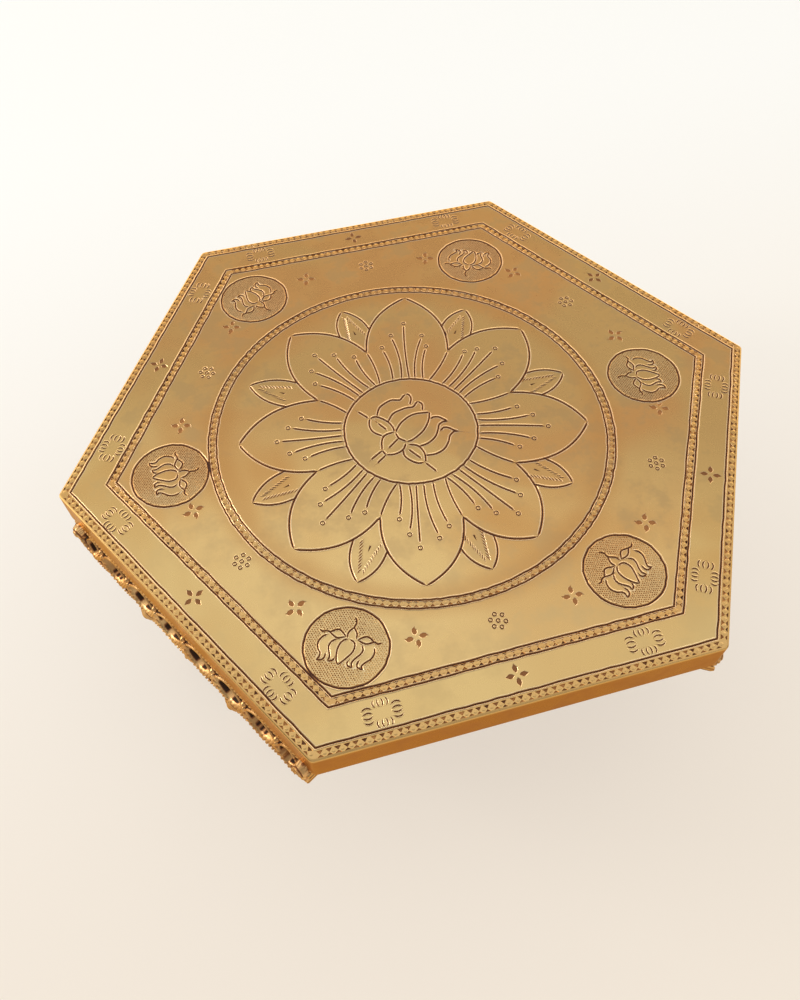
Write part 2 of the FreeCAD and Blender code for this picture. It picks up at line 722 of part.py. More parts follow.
flangeSeatZ = undersideZ - size("flangeThickness")
subParts.append(makeScrews("leg_screws", padScrewPlaces(), flangeSeatZ, size("screwRadius"),
                           size("screwHeadRadius"), size("screwHeadHeight"), size("screwLength")))
subParts.append(makeScrews("frieze_screws", friezeScrewPlaces(), flangeSeatZ, size("screwRadius"),
                           size("screwHeadRadius"), size("screwHeadHeight"), size("screwLength")))
subParts.append(makeScrews("batten_screws", battenScrewPlaces(-1) + battenScrewPlaces(1),
                           boardBottomZ - size("battenThickness"), size("battenScrewRadius"),
                           size("battenHeadRadius"), size("screwHeadHeight"),
                           size("battenScrewLength")))
doc.recompute()

for item in doc.Objects:
    if "Invalid" in item.State or "Error" in item.State:
        raise RuntimeError("failed object: " + item.Name)
for part in subParts:
    if part.Shape.isNull() or not part.Shape.isValid():
        raise RuntimeError("bad shape: " + part.Label)
    part.Shape.exportStep("parts/" + part.Label + ".step")
    print(part.Label, len(part.Shape.Solids), round(part.Shape.Volume))
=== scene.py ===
import math
import random

import bpy
import numpy as np
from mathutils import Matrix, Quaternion, Vector, geometry, kdtree


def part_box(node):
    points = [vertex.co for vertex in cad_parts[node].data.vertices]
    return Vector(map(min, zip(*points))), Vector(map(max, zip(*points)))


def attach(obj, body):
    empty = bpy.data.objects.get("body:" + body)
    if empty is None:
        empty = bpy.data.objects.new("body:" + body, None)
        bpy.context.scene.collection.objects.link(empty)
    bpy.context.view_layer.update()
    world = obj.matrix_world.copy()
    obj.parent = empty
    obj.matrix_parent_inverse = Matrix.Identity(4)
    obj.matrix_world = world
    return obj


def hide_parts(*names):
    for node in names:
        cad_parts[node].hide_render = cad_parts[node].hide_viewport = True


# A low six-sided brass table: a chased lotus top on a wooden board, cast legs and friezes.
# The frame is in metres. The chasing is laid out in millimetres from the middle of the top.

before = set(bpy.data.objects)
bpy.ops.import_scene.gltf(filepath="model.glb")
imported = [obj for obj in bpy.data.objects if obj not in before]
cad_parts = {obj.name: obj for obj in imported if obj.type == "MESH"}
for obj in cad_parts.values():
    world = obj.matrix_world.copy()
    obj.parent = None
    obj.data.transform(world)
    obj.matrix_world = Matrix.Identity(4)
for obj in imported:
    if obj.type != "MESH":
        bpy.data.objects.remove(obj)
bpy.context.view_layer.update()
mm = 0.001
capLow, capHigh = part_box("top_cap")
topZ = capHigh.z
bandLowZ = capLow.z
apothem = capHigh.y / mm
sixth = math.pi / 3
perCorner = 1 / math.cos(sixth / 2)
chance = random.Random(7)
print("frame loaded, the top is", round(2 * apothem), "mm across the flats")


# Curves of the chasing, as lists of points in millimetres

def splineThrough(points, sharesOf):
    # points of a smooth curve; sharesOf gives the steps between two of its knots
    knots = [np.array(p, float) for p in points]
    knots = [2 * knots[0] - knots[1], *knots, 2 * knots[-1] - knots[-2]]
    curve = []
    for p0, p1, p2, p3 in zip(knots, knots[1:], knots[2:], knots[3:]):
        bend = 2 * p0 - 5 * p1 + 4 * p2 - p3
        for t in sharesOf(p1, p2):
            curve.append((2 * p1 + (p2 - p0) * t + bend * t ** 2
                          + (3 * p1 - p0 - 3 * p2 + p3) * t ** 3) / 2)
    return curve


def smoothPath(points, step):
    if len(points) < 3:
        return arcPath(points[0], points[-1], 0, step)

    def shares(start, end):
        count = max(1, round(float(np.linalg.norm(end - start)) / step))
        return np.arange(count) / count

    return [tuple(p) for p in splineThrough(points, shares)] + [tuple(points[-1])]


def arcPath(start, end, bulge, step=1.8):
    # the middle lies bulge times the chord to the left of the straight way
    (ax, ay), (bx, by) = start, end
    count = max(2, round(math.hypot(bx - ax, by - ay) / step))
    path = []
    for k in range(count + 1):
        t = k / count
        away = 4 * bulge * t * (1 - t)
        path.append((ax + (bx - ax) * t - (by - ay) * away, ay + (by - ay) * t + (bx - ax) * away))
    return path


def ringPath(middle, radius, count):
    return [(middle[0] + radius * math.cos(2 * math.pi * k / count),
             middle[1] + radius * math.sin(2 * math.pi * k / count)) for k in range(count)]


def placed(points, middle, angle=0.0, scale=1.0):
    c, s = math.cos(angle) * scale, math.sin(angle) * scale
    return [(middle[0] + x * c - y * s, middle[1] + x * s + y * c) for x, y in points]


def polar(radius, degrees, middle=(0, 0)):
    angle = math.radians(degrees)
    return middle[0] + radius * math.cos(angle), middle[1] + radius * math.sin(angle)


# The chaser's marks: a stroke is a V cut along a path, a pit is one blow of a punch

strokes = []
pits = []


def stroke(path, width=1.7, depth=0.34, closed=False, taper=1.2, ink=1.0):
    # ink is how much of its width has stayed dark
    points = np.array(path, float)
    widths = np.full(len(points), width)
    if not closed:
        run = np.concatenate([[0], np.cumsum(np.linalg.norm(np.diff(points, axis=0), axis=1))])
        near = np.minimum(run, run[-1] - run)
        widths = width * np.clip(0.2 + near / taper, 0.2, 1)
    strokes.append((points, widths, depth / width, closed, ink))


def pit(corners, depth, floor=0.0, tone=1.0):
    # floor is the share of the mark that has a level bottom, tone how dark it has stayed.
    # A depth below zero is a bead that stands up between the blows
    pits.append((np.array(corners, float), depth, floor, tone))


def sidesOf(points, closed):
    # for each point the direction to its left, stretched at a bend
    ahead = np.roll(points, -1, axis=0) - points
    if not closed:
        ahead[-1] = ahead[-2]
    ahead /= np.maximum(np.linalg.norm(ahead, axis=1, keepdims=True), 1e-9)
    behind = np.roll(ahead, 1, axis=0)
    if not closed:
        behind[0] = ahead[0]
    mean = ahead + behind
    length = np.maximum(np.linalg.norm(mean, axis=1, keepdims=True), 0.9)
    mean = mean / length
    return np.stack([-mean[:, 1], mean[:, 0]], axis=1) * 2 / length


# Rims and borders of the chased top

border = {
    "rimLine": 170.2,
    "outerLine": 153.6,
    "innerLine": 149.0,
    "roundMiddle": (-7.0, -5.4),
    "roundOuter": 114.6,
    "roundInner": 110.1,
    "blowPitch": 4.1,
    "blowWidth": 2.9,
    "blowDepth": 0.42,
    "beadHigh": 0.15,
    "wander": 0.2,
}


def wander(path):
    reach = border["wander"]
    return [(x + chance.uniform(-reach, reach), y + chance.uniform(-reach, reach))
            for x, y in path]


def hexagonPath(distance, step=5.0):
    corners = [polar(distance * perCorner, 60 * k) for k in range(6)]
    path = []
    for (ax, ay), (bx, by) in zip(corners, corners[1:] + corners[:1]):
        count = round(math.hypot(bx - ax, by - ay) / step)
        path.append((ax, ay))
        path += wander([(ax + (bx - ax) * k / count, ay + (by - ay) * k / count)
                        for k in range(1, count)])
    return path


def blows(middle, outward, along, reach, darkest, wide=1.0, waist=0.0):
    # two punch marks, tip to tip across the row, and the bead after them
    mx, my = middle
    ox, oy = outward
    ax, ay = along
    half = wide * border["blowWidth"] / 2 * chance.uniform(0.86, 1.08)
    lean = chance.uniform(-0.25, 0.25)
    for edge, tip in ((reach, waist + 0.1), (-reach, waist - 0.1)):
        corners = []
        for run, away in ((-half + lean, edge), (half + lean, edge), (lean, tip)):
            corners.append((mx + ox * away + ax * run, my + oy * away + ay * run))
        pit(corners, border["blowDepth"] * chance.uniform(0.75, 1.1), 0.66,
            darkest * chance.uniform(0.6, 1.0))
    run = border["blowPitch"] / 2 + lean / 2
    bead = (mx + ax * run, my + ay * run)
    pit(ringPath(bead, reach * 0.72, 7), -border["beadHigh"], 0.45, 0)


def straightRow(inner, outer, edge, darkest, wide=1.0, waist=0.0):
    middle = (inner + outer) / 2
    reach = (outer - inner) / 2 - edge
    for side in range(6):
        angle = sixth * (side + 0.5)
        outward = (math.cos(angle), math.sin(angle))
        along = (-outward[1], outward[0])
        half = middle * math.tan(sixth / 2) - 1.2
        count = round(2 * half / border["blowPitch"])
        for k in range(count):
            run = -half + 2 * half * (k + 0.5) / count + chance.uniform(-0.2, 0.2)
            place = (outward[0] * middle + along[0] * run, outward[1] * middle + along[1] * run)
            blows(place, outward, along, reach, darkest, wide, waist)


def roundRow():
    middle = (border["roundInner"] + border["roundOuter"]) / 2
    reach = (border["roundOuter"] - border["roundInner"]) / 2 - 0.75
    count = round(2 * math.pi * middle / border["blowPitch"])
    for k in range(count):
        degrees = 360 * (k + chance.uniform(-0.05, 0.05)) / count
        outward = polar(1, degrees)
        blows(polar(middle, degrees, border["roundMiddle"]), outward,
              (-outward[1], outward[0]), reach, 0.62)


for distance in (border["rimLine"], border["outerLine"], border["innerLine"]):
    stroke(hexagonPath(distance), closed=True, width=1.4, depth=0.36, ink=1.35)
for radius in (border["roundOuter"], border["roundInner"]):
    stroke(wander(ringPath(border["roundMiddle"], radius, 260)), closed=True, width=1.4, ink=1.2)
straightRow(border["rimLine"] + 1.5, apothem - 1.15, edge=0, darkest=0.72, wide=1.12, waist=0.4)
straightRow(border["innerLine"], border["outerLine"], edge=0.75, darkest=0.85)
roundRow()
print("borders laid out,", len(pits), "punch marks")


# The lotus drawn on the middle and on the six rounds. It grows along +X from its calyx.

lotus = {
    "lines": [
        [(-16.2, 1.6), (-7, 1.5)],
        [(-15.5, -2.6), (-7.7, -2.2)],
        [(-3.9, -0.1), (5.5, 0.7)],
        [(-7, 1.5), (-2.6, 6), (1.9, 7.8), (7.2, 5.6)],
        [(-7.7, -2.2), (-3.8, -5.5), (1.4, -6.6), (5.9, -4.7)],
        [(-7, 1.5), (-7.7, -2.2)],
        [(7.2, 4.9), (5.7, 0.4), (7, -4.3)],
        [(7.2, 4.9), (15, 7.3), (23.7, 6.4), (31.5, 0.7)],
        [(7, -4.3), (10.3, -5.8), (18.6, -5.9), (26.1, -3.3), (31.5, 0.7)],
        [(4.6, 22.5), (0.8, 19), (-0.9, 14.2), (0.5, 8.3)],
        [(4.6, 22.5), (8.2, 20.7), (10, 14.1), (9.2, 8.8), (7.3, 5.7)],
        [(5.4, 17), (5.4, 9.4)],
        [(3.7, 31.5), (4.5, 23)],
        [(8.7, 20.8), (14.4, 24), (20.2, 23.8), (23.6, 22.6), (26.6, 19.4), (29.4, 19.8),
         (32.2, 20.2)],
        [(32.2, 20.2), (33.1, 18.3), (31.6, 15.1), (27.5, 12.6)],
        [(10.3, 13.3), (16.5, 15.2), (21.6, 13.9), (24.9, 12.5), (27.8, 10.3), (30.5, 10.7),
         (32.8, 11.4)],
        [(32.8, 11.4), (33.2, 8.2), (31.4, 6), (29.3, 4.3)],
        [(9.1, -11.7), (14.5, -13.8), (20.5, -13.7), (25.4, -11.3), (28.1, -9.6), (31.4, -9.7),
         (33.6, -11.6)],
        [(33.6, -11.6), (33.2, -9.4), (32.3, -5.5), (30.2, -3.4), (28, -3.2)],
        [(6.8, -18.3), (11.3, -21.8), (17.2, -23.1), (22.8, -21.5), (26.2, -19.4),
         (30.6, -19.1), (32.5, -21.4)],
        [(32.5, -21.4), (31, -18.5), (30.4, -15.3), (28.6, -12.8), (25, -13.2)],
        [(1.2, -6.9), (-1.2, -10), (-1.3, -15), (0.3, -19.3), (3, -21)],
        [(5.9, -6), (8.9, -10.8), (7.9, -16.5), (4.3, -20.9), (3, -21)],
        [(3.6, -8.4), (3.7, -18.5)],
        [(3.1, -21.5), (2.9, -30.6)],
    ],
    "smallLines": [
        [(-3.7, 0.2), (-2.2, 3.4), (1.8, 3.8), (6.3, 1.4), (10.3, -1.3)],
        [(-3.7, 0.2), (-3.2, -1.3), (-1.2, -3.1), (2.8, -3.8), (7.8, -2.8), (10.3, -1.3)],
        [(-2.7, 12.7), (-0.2, 13.9), (3.3, 13.2), (6.3, 10.7), (8.3, 9.7), (9.8, 11.2)],
        [(9.8, 11.2), (9.3, 8.2), (7.3, 7.4), (4.8, 8.2)],
        [(-2.4, 6.7), (-0.2, 8.2), (2.3, 7.7), (5.3, 5.7), (7.8, 4.7), (10.0, 5.7)],
        [(10.0, 5.7), (9.6, 3.4), (7.8, 2.6), (6.0, 3.3)],
        [(-2.4, -5.3), (-0.7, -7.5), (2.3, -8.3), (5.3, -7.1), (7.3, -6.3), (9.6, -6.8)],
        [(9.6, -6.8), (8.8, -4.6), (6.8, -3.8)],
        [(-3.7, -10.3), (-2.2, -12.3), (1.3, -13.8), (4.8, -12.8), (6.3, -11.3), (8.3, -11.1),
         (10.3, -12.1)],
        [(10.3, -12.1), (9.8, -9.8), (7.8, -8.5), (5.3, -8.8)],
        [(-4.2, 4.2), (-7.0, 8.2), (-5.2, 12.5)],
        [(-4.2, 4.2), (-3.2, 8.6), (-5.2, 12.5), (-4.6, 14.2), (-6.0, 16.4)],
        [(-4.0, 3.4), (-7.2, 3.2), (-10.2, 0.9), (-12.4, 1.4), (-14.2, 1.0), (-15.6, -0.6)],
        [(-3.8, -0.9), (-7.2, -1.0), (-10.2, 0.9)],
        [(-4.6, -1.6), (-7.3, -5.8), (-5.0, -10.0)],
        [(-4.6, -1.6), (-2.9, -5.8), (-5.0, -10.0), (-5.1, -12.0), (-4.4, -13.6), (-5.4, -15.4)],
    ],
    "body": [(-2.7, 13.2), (0.4, 14.2), (4.5, 13), (7, 10.9), (10, 11.4), (9.8, 7.5), (10.3, 5),
             (9, 0.6), (10.3, -1.3), (8.6, -3.4), (9.9, -7), (8.9, -8.6), (10.6, -12),
             (5.6, -12.6), (1.3, -14.1), (-3, -12.6), (-4.8, -10), (-7.2, -5.8), (-5.6, -1.2),
             (-10, 0.8), (-7.2, 3.2), (-4.8, 3.8), (-6.9, 8.4), (-5.2, 12.4)],
    "middle": (-20.8, -15.4),
    "turn": 31.7,
    "ringMiddle": (-8.0, -7.4),
    "ringRadius": 37.8,
}


def drawLotus(lines, middle, degrees, width, depth):
    for line in lines:
        path = placed(smoothPath(line, 1.3), middle, math.radians(degrees))
        stroke(path, width=width, depth=depth, taper=1.4, ink=1.2)


drawLotus(lotus["lines"], lotus["middle"], lotus["turn"], width=1.6, depth=0.34)
stroke(wander(ringPath(lotus["ringMiddle"], lotus["ringRadius"], 110)), closed=True)

# Eight petals round the middle, each with five stamens, and a leaf in each gap

petals = {
    "tips": [(17.0, 96.4), (78.8, 50.2), (90.2, -29.4), (36.0, -93.6), (-27.6, -105.6),
             (-87.4, -67.2), (-103.8, 7.6), (-59.2, 83.2)],
    "valleys": [(-17.8, 56.4), (29.8, 44.8), (55.0, 3.2), (40.8, -45.6), (2.4, -71.0),
                (-39.4, -59.6), (-65.0, -21.8), (-54.0, 27.4)],
    "leafTips": [(-24.4, 95.2), (50.8, 76.0), (90.6, 9.2), (66.2, -66.8), (7.2, -105.6),
                 (-60.6, -94.6), (-103.2, -33.0), (-90.8, 49.6)],
    "knobs": [[(-7.9, 58.4), (0.0, 66.8), (10.3, 74.7), (18.4, 61.8), (18.4, 52.4)],
              [(39.7, 41.8), (47.6, 41.8), (58.4, 39.2), (58.4, 26.3), (52.6, 16.8)],
              [(55.5, -7.9), (62.1, -16.1), (67.6, -26.3), (56.8, -32.4), (47.1, -35.8)],
              [(37.6, -56.6), (36.3, -66.6), (31.1, -77.4), (20.0, -73.9), (11.8, -68.4)],
              [(-30.3, -64.0), (-27.6, -74.5), (-24.5, -83.7), (-13.2, -80.8), (-6.3, -75.0)],
              [(-63.7, -34.5), (-68.4, -43.7), (-69.7, -55.5), (-55.8, -55.8), (-46.8, -55.0)],
              [(-66.3, 16.8), (-75.0, 12.1), (-82.9, 3.9), (-77.6, -6.0), (-70.0, -11.6)],
              [(-53.2, 40.5), (-53.2, 51.0), (-48.7, 63.2), (-37.4, 60.3), (-26.0, 55.5)]],
    "bulge": 0.155,
    "stamenTurns": (-13.0, -6.5, 0.0, 6.5, 13.0),
    "leafReach": 23.5,
    "leafHalf": 9.4,
    "leafEye": [(18.2, 0), (20.2, -0.45), (22.4, -0.7), (22.6, 0.4), (20.4, 0.3)],
    "hatchStart": 6.8,
    "hatchRows": 10,
    "hatchOff": 0.9,
    "hatchSpread": 0.25,
    "hatchBack": 1.7,
    "hatchOut": 0.7,
}


def drawPetals():
    ringX, ringY = lotus["ringMiddle"]
    count = len(petals["tips"])
    for k in range(count):
        tip = petals["tips"][k]
        before, after = petals["valleys"][k], petals["valleys"][(k + 1) % count]
        stroke(arcPath(before, tip, petals["bulge"]), taper=0.6, ink=1.25)
        stroke(arcPath(after, tip, -petals["bulge"]), taper=0.6, ink=1.25)
        inward = math.degrees(math.atan2(before[1] - ringY, before[0] - ringX))
        stroke(arcPath(before, polar(lotus["ringRadius"] + 0.4, inward + 4, (ringX, ringY)),
                       0.04), width=1.5, taper=1.0)
        axis = math.degrees(math.atan2(tip[1] - ringY, tip[0] - ringX))
        bearings = []
        for knobX, knobY in petals["knobs"][k]:
            away = math.degrees(math.atan2(knobY - ringY, knobX - ringX)) - axis
            bearings.append((away + 180) % 360 - 180)
        for turn, which in zip(petals["stamenTurns"], np.argsort(bearings)):
            knob = petals["knobs"][k][which]
            start = polar(lotus["ringRadius"] + 0.6, axis + turn + chance.uniform(-1, 1),
                          (ringX, ringY))
            reach = math.dist(start, knob)
            stop = 1 - chance.uniform(1.6, 2.6) / reach
            end = (start[0] + (knob[0] - start[0]) * stop, start[1] + (knob[1] - start[1]) * stop)
            bend = 0.05 * math.copysign(1, turn) if turn else chance.uniform(-0.02, 0.02)
            stroke(arcPath(start, end, -bend), width=1.5, depth=0.32, taper=0.7, ink=1.5)
            stroke(ringPath(knob, 1.15, 9), width=0.9, depth=0.24, closed=True, ink=1.15)
            pit(ringPath(knob, 0.5, 6), -0.12, 0.4, 0)


def leafBase(valley, tip, petal, bulge):
    # where a leaf's edge leaves the petal: half a leaf's width off the leaf's axis
    ax, ay = tip[0] - valley[0], tip[1] - valley[1]
    base = valley
    for x, y in arcPath(valley, petal, bulge, 0.5):
        off = abs((x - valley[0]) * ay - (y - valley[1]) * ax) / math.hypot(ax, ay)
        if off > petals["leafHalf"]:
            break
        base = (x, y)
    return base


def drawLeaves():
    count = len(petals["tips"])
    first, rows = petals["hatchStart"], petals["hatchRows"]
    back, out = petals["hatchBack"], petals["hatchOut"]
    for k in range(count):
        tip = petals["leafTips"][k]
        left, right = petals["tips"][k - 1], petals["tips"][k]
        valley = petals["valleys"][k]
        baseLeft = leafBase(valley, tip, left, -petals["bulge"])
        baseRight = leafBase(valley, tip, right, petals["bulge"])
        stroke(arcPath(baseLeft, tip, 0.12), width=1.5, taper=0.8, ink=1.15)
        stroke(arcPath(baseRight, tip, -0.12), width=1.5, taper=0.8, ink=1.15)
        aim = math.atan2(valley[1] - tip[1], valley[0] - tip[0])
        # slanting cuts on both halves, bold on one and fine on the other
        bold = 1 if k % 2 else -1
        for side, width, depth, ink in ((bold, 0.95, 0.34, 0.55), (-bold, 0.8, 0.24, 1.35)):
            for n in range(rows):
                run = first + (petals["leafReach"] - first) * n / (rows - 1)
                run += chance.uniform(-0.15, 0.15)
                away = side * (petals["hatchOff"] + petals["hatchSpread"] * (run - first))
                cut = arcPath((run - back, away + out * side), (run + back, away - out * side),
                              0.04 * side, 1.2)
                stroke(placed(cut, tip, aim), width=width, depth=depth, taper=0.7, ink=ink)
        pit(placed(petals["leafEye"], tip, aim), depth=0.24, floor=0.7, tone=0.75)


drawPetals()
drawLeaves()
print("lotus, petals and leaves drawn")

# Small marks in the field and on the outer band: each is struck once per side

field = {
    "petalTop": [(0.9, 0.2), (1.6, 1.1), (2.9, 1.4), (4.2, 0.9), (5.2, -0.8), (4.2, -0.5),
                 (3.2, -1.2), (1.8, -1.0)],
    "crossTop": [(0.9, 0), (2.3, 1.2), (3.8, 1.5), (6.1, 0.1), (3.8, -1.4), (2.3, -1.2)],
    "roundPlaces": [(143.5, 121.8), (137.4, 60.2), (143.3, 181.2), (135.9, -2.2),
                    (146.7, 239.8), (142.8, -60.2)],
    "roundRadius": 20.8,
    "whirlAlong": 40.0,
    "whirlDistance": 130.5,
    "clusterDistance": 132.0,
    "bandFlowerAlong": 65.0,
    "bandDistance": 162.4,
}


def sidePlace(side, distance, along):
    outward = polar(1, 60 * side + 30)
    return (outward[0] * distance - outward[1] * along,
            outward[1] * distance + outward[0] * along)


def whirl(middle, degrees):
    for k in range(4):
        pit(placed(field["petalTop"], middle, math.radians(degrees + 90 * k),
                   chance.uniform(1.12, 1.26)), depth=0.2, floor=0.8, tone=0.54)


def cluster(middle):
    spin = chance.uniform(0, 60)
    places = [middle] + [polar(3.75, spin + 60 * k, middle) for k in range(6)]
    for place in places:
        stroke(ringPath(place, 0.98, 8), width=0.85, depth=0.26, closed=True, ink=1.2)
        pit(ringPath(place, 0.42, 5), -0.12, 0.4, 0)


def bandFlower(middle, degrees):
    # four eyes between brackets, the two along the band a little further out
    for k in range(4):
        angle = math.radians(degrees + 90 * k)
        reach, half = (4.9, 2.1) if k % 2 == 0 else (7.0, 2.5)
        for side, bulge in ((0.45, 0.2), (2.6, 0.24)):
            for way in (-1, 1):
                path = placed(arcPath((reach - half, way * side), (reach + half, way * side),
                                      way * bulge, 1.0), middle, angle)
                stroke(path, width=1.0, depth=0.26, taper=1.2, ink=1.6)


def bandCross(middle, degrees):
    for k in range(4):
        pit(placed(field["crossTop"], middle, math.radians(degrees + 90 * k)),
            depth=0.24, floor=0.78, tone=0.62)


def near(place, reach=1.2):
    return place[0] + chance.uniform(-reach, reach), place[1] + chance.uniform(-reach, reach)


for side in range(6):
    facing = 60 * side + 30
    cluster(near(sidePlace(side, field["clusterDistance"], 0)))
    bandCross(near(sidePlace(side, field["bandDistance"], 0), 0.6),
              facing + chance.uniform(-6, 6))
    for end in (-1, 1):
        whirl(near(sidePlace(side, field["whirlDistance"], end * field["whirlAlong"])),
              facing + chance.uniform(-20, 20))
        flower = sidePlace(side, field["bandDistance"], end * field["bandFlowerAlong"])
        bandFlower(near(flower, 0.7), facing + chance.uniform(-4, 4))

roundGrounds = []
for distance, degrees in field["roundPlaces"]:
    middle = polar(distance, degrees)
    stroke(wander(ringPath(middle, field["roundRadius"], 54)), closed=True, width=1.6, ink=1.2)
    foot = polar(distance - 0.5, degrees)
    facing = degrees + chance.uniform(-7, 6)
    drawLotus(lotus["smallLines"], foot, facing, width=1.25, depth=0.3)
    roundGrounds.append((middle, placed(lotus["body"], foot, math.radians(facing)), facing))


def within(point, outline):
    x, y = point
    inside = False
    for (ax, ay), (bx, by) in zip(outline, outline[1:] + outline[:1]):
        if (ay > y) != (by > y) and x < ax + (bx - ax) * (y - ay) / (by - ay):
            inside = not inside
    return inside


def treeOf(points):
    # finds the points near a place
    tree = kdtree.KDTree(len(points))
    for k, (x, y) in enumerate(points):
        tree.insert((x, y, 0), k)
    tree.balance()
    return tree


def groundOf(middle, body, degrees, cuts, pitch=1.12):
    # rows of small pits between the lotus and its ring, clear of every cut
    reach = int(field["roundRadius"] / pitch) + 1
    for row in range(-reach, reach + 1):
        for column in range(-reach, reach + 1):
            u, v = (row + 0.5 * (column % 2)) * pitch, column * pitch
            x, y = placed([(u, v)], middle, math.radians(degrees + 45))[0]
            x, y = near((x, y), 0.12)
            if math.hypot(x - middle[0], y - middle[1]) > field["roundRadius"] - 1.1:
                continue
            if within((x, y), body) or cuts.find((x, y, 0))[2] < 0.95:
                continue
            # pits towards one side are left pale as a painted highlight, the others stay dark with
            # patina
            paleGlint = u + v + chance.uniform(-6, 6) > 9
            pit(ringPath((x, y), 0.5, 4), 0.28 * chance.uniform(0.7, 1.1), 0.4,
                0.17 if paleGlint else chance.uniform(0.34, 0.58))


cutPoints = treeOf(np.concatenate([points for points, *rest in strokes]))
for middle, body, facing in roundGrounds:
    groundOf(middle, body, facing, cutPoints)
print("field drawn,", len(strokes), "strokes and", len(pits), "punch marks")


# The top itself: every mark becomes lines in one triangulated sheet, and each point gets the
# height that the nearest cut gives it

sheet = {
    "lip": 0.16,
    "lipShare": 0.35,
    "lipFull": 1.4,
    "lipHighlight": 0.15,
    "groundShade": 0.24,
    "round": 3.0,
    "rim": 1.1,
    "thickness": 1.2,
    "lap": 16.0,
    "sideStep": 9.0,
}


def sheetOutline(distance, radius):
    path = []
    for k in range(6):
        corner = (distance - radius) * perCorner
        for j in range(5):
            path.append(polar(radius, 60 * k - 30 + 15 * j, polar(corner, 60 * k)))
        following = polar(radius, 60 * k + 30, polar(corner, 60 * (k + 1)))
        last = path[-1]
        count = round(math.dist(last, following) / sheet["sideStep"])
        path += [(last[0] + (following[0] - last[0]) * j / count,
                  last[1] + (following[1] - last[1]) * j / count) for j in range(1, count)]
    return path


def layLines():
    places, edges, heights, tones = [], [], [], []

    def add(points, height, closed, tone=0.0):
        first = len(places)
        places.extend(points)
        heights.extend([height] * len(points))
        tones.extend([tone] * len(points))
        edges.extend((first + k, first + k + 1) for k in range(len(points) - 1))
        if closed:
            edges.append((first + len(points) - 1, first))
        return first

    outline = sheetOutline(apothem - sheet["rim"], sheet["round"])
    add(outline, 0, True)
    for points, widths, ratio, closed, ink in strokes:
        left = sidesOf(points, closed)
        for away, extra in ((0, 0), (0.5, 0), (-0.5, 0), (0.5, 1), (-0.5, 1)):
            spread = (widths * (away + math.copysign(extra * sheet["lipShare"], away)))[:, None]
            add([tuple(p) for p in points + left * spread], 0, closed)
    for corners, depth, floor, tone in pits:
        add([tuple(p) for p in corners], 0, True, 0)
        middle = corners.mean(axis=0)
        if floor:
            level = middle + (corners - middle) * floor
            add([tuple(p) for p in level], -depth, True, tone)
        else:
            add([tuple(middle)], -depth, False, tone)
    return places, edges, heights, tones


def cutHeights(places):
    # the height that the strokes give to each place, and how dark they leave it
    rows = []
    for points, widths, ratio, closed, ink in strokes:
        half = widths / 2
        cuts = np.column_stack([points, np.roll(points, -1, axis=0), half, np.roll(half, -1),
                                np.full(len(points), ratio * 2), np.full(len(points), ink)])
        rows.append(cuts if closed else cuts[:-1])
    rows = np.concatenate(rows)
    starts, ends = rows[:, :2], rows[:, 2:4]
    startHalf, endHalf, ratios, inks = rows[:, 4:].T
    tree = treeOf((starts + ends) / 2)
    longest = float(np.linalg.norm(ends - starts, axis=1).max()) / 2
    heights, shades = np.zeros(len(places)), np.zeros(len(places))
    lip, lipHighlight = sheet["lip"], sheet["lipHighlight"]
    for k, (x, y) in enumerate(places):
        found = [hit[1] for hit in tree.find_range((x, y, 0), longest + 1.3)]
        if not found:
            continue
        a, b = starts[found], ends[found]
        along = b - a
        share = ((x - a[:, 0]) * along[:, 0] + (y - a[:, 1]) * along[:, 1]) / (along ** 2).sum(1)
        share = np.clip(share, 0, 1)
        away = np.hypot(a[:, 0] + along[:, 0] * share - x, a[:, 1] + along[:, 1] * share - y)
        half = startHalf[found] * (1 - share) + endHalf[found] * share
        inside = away < half - 1e-3
        if inside.any():
            heights[k] = (-(half - away) * ratios[found])[inside].min()
            deep = ((half - away) / half * inks[found])[inside].max()
            shades[k] = min(1.0, lipHighlight + (1 - lipHighlight) * deep)
        else:
            # the lips beside a cut are marked for the pale painted highlight
            rise = np.maximum(0, 1 - (away - half) / (2 * half * sheet["lipShare"]))
            rise = float((rise * np.minimum(1, 2 * half / sheet["lipFull"])).max())
            heights[k] = lip * rise
            shades[k] = lipHighlight * rise
    return heights, shades


def struckHere(flat, known):
    # a place where lines cross inside a punch mark takes the mark's height and tone there
    tree = treeOf([corners.mean(axis=0) for corners, *rest in pits])
    low, tones = np.zeros(len(flat)), np.zeros(len(flat))
    for k in (n for n, names in enumerate(known) if not names):
        for place, which, distance in tree.find_range((*flat[k], 0), 3.2):
            corners, depth, floor, tone = pits[which]
            middle = corners.mean(axis=0)
            edges = np.roll(corners, -1, axis=0) - corners
            normals = np.stack([edges[:, 1], -edges[:, 0]], axis=1)
            share = ((normals @ (flat[k] - middle))
                     / np.maximum((normals * (corners - middle)).sum(1), 1e-6)).max()
            deep = min(1.0, (1 - share) / (1 - floor))
            if deep > 0:
                low[k] = -depth * deep
                tones[k] = max(tones[k], tone * deep)
    return low, tones


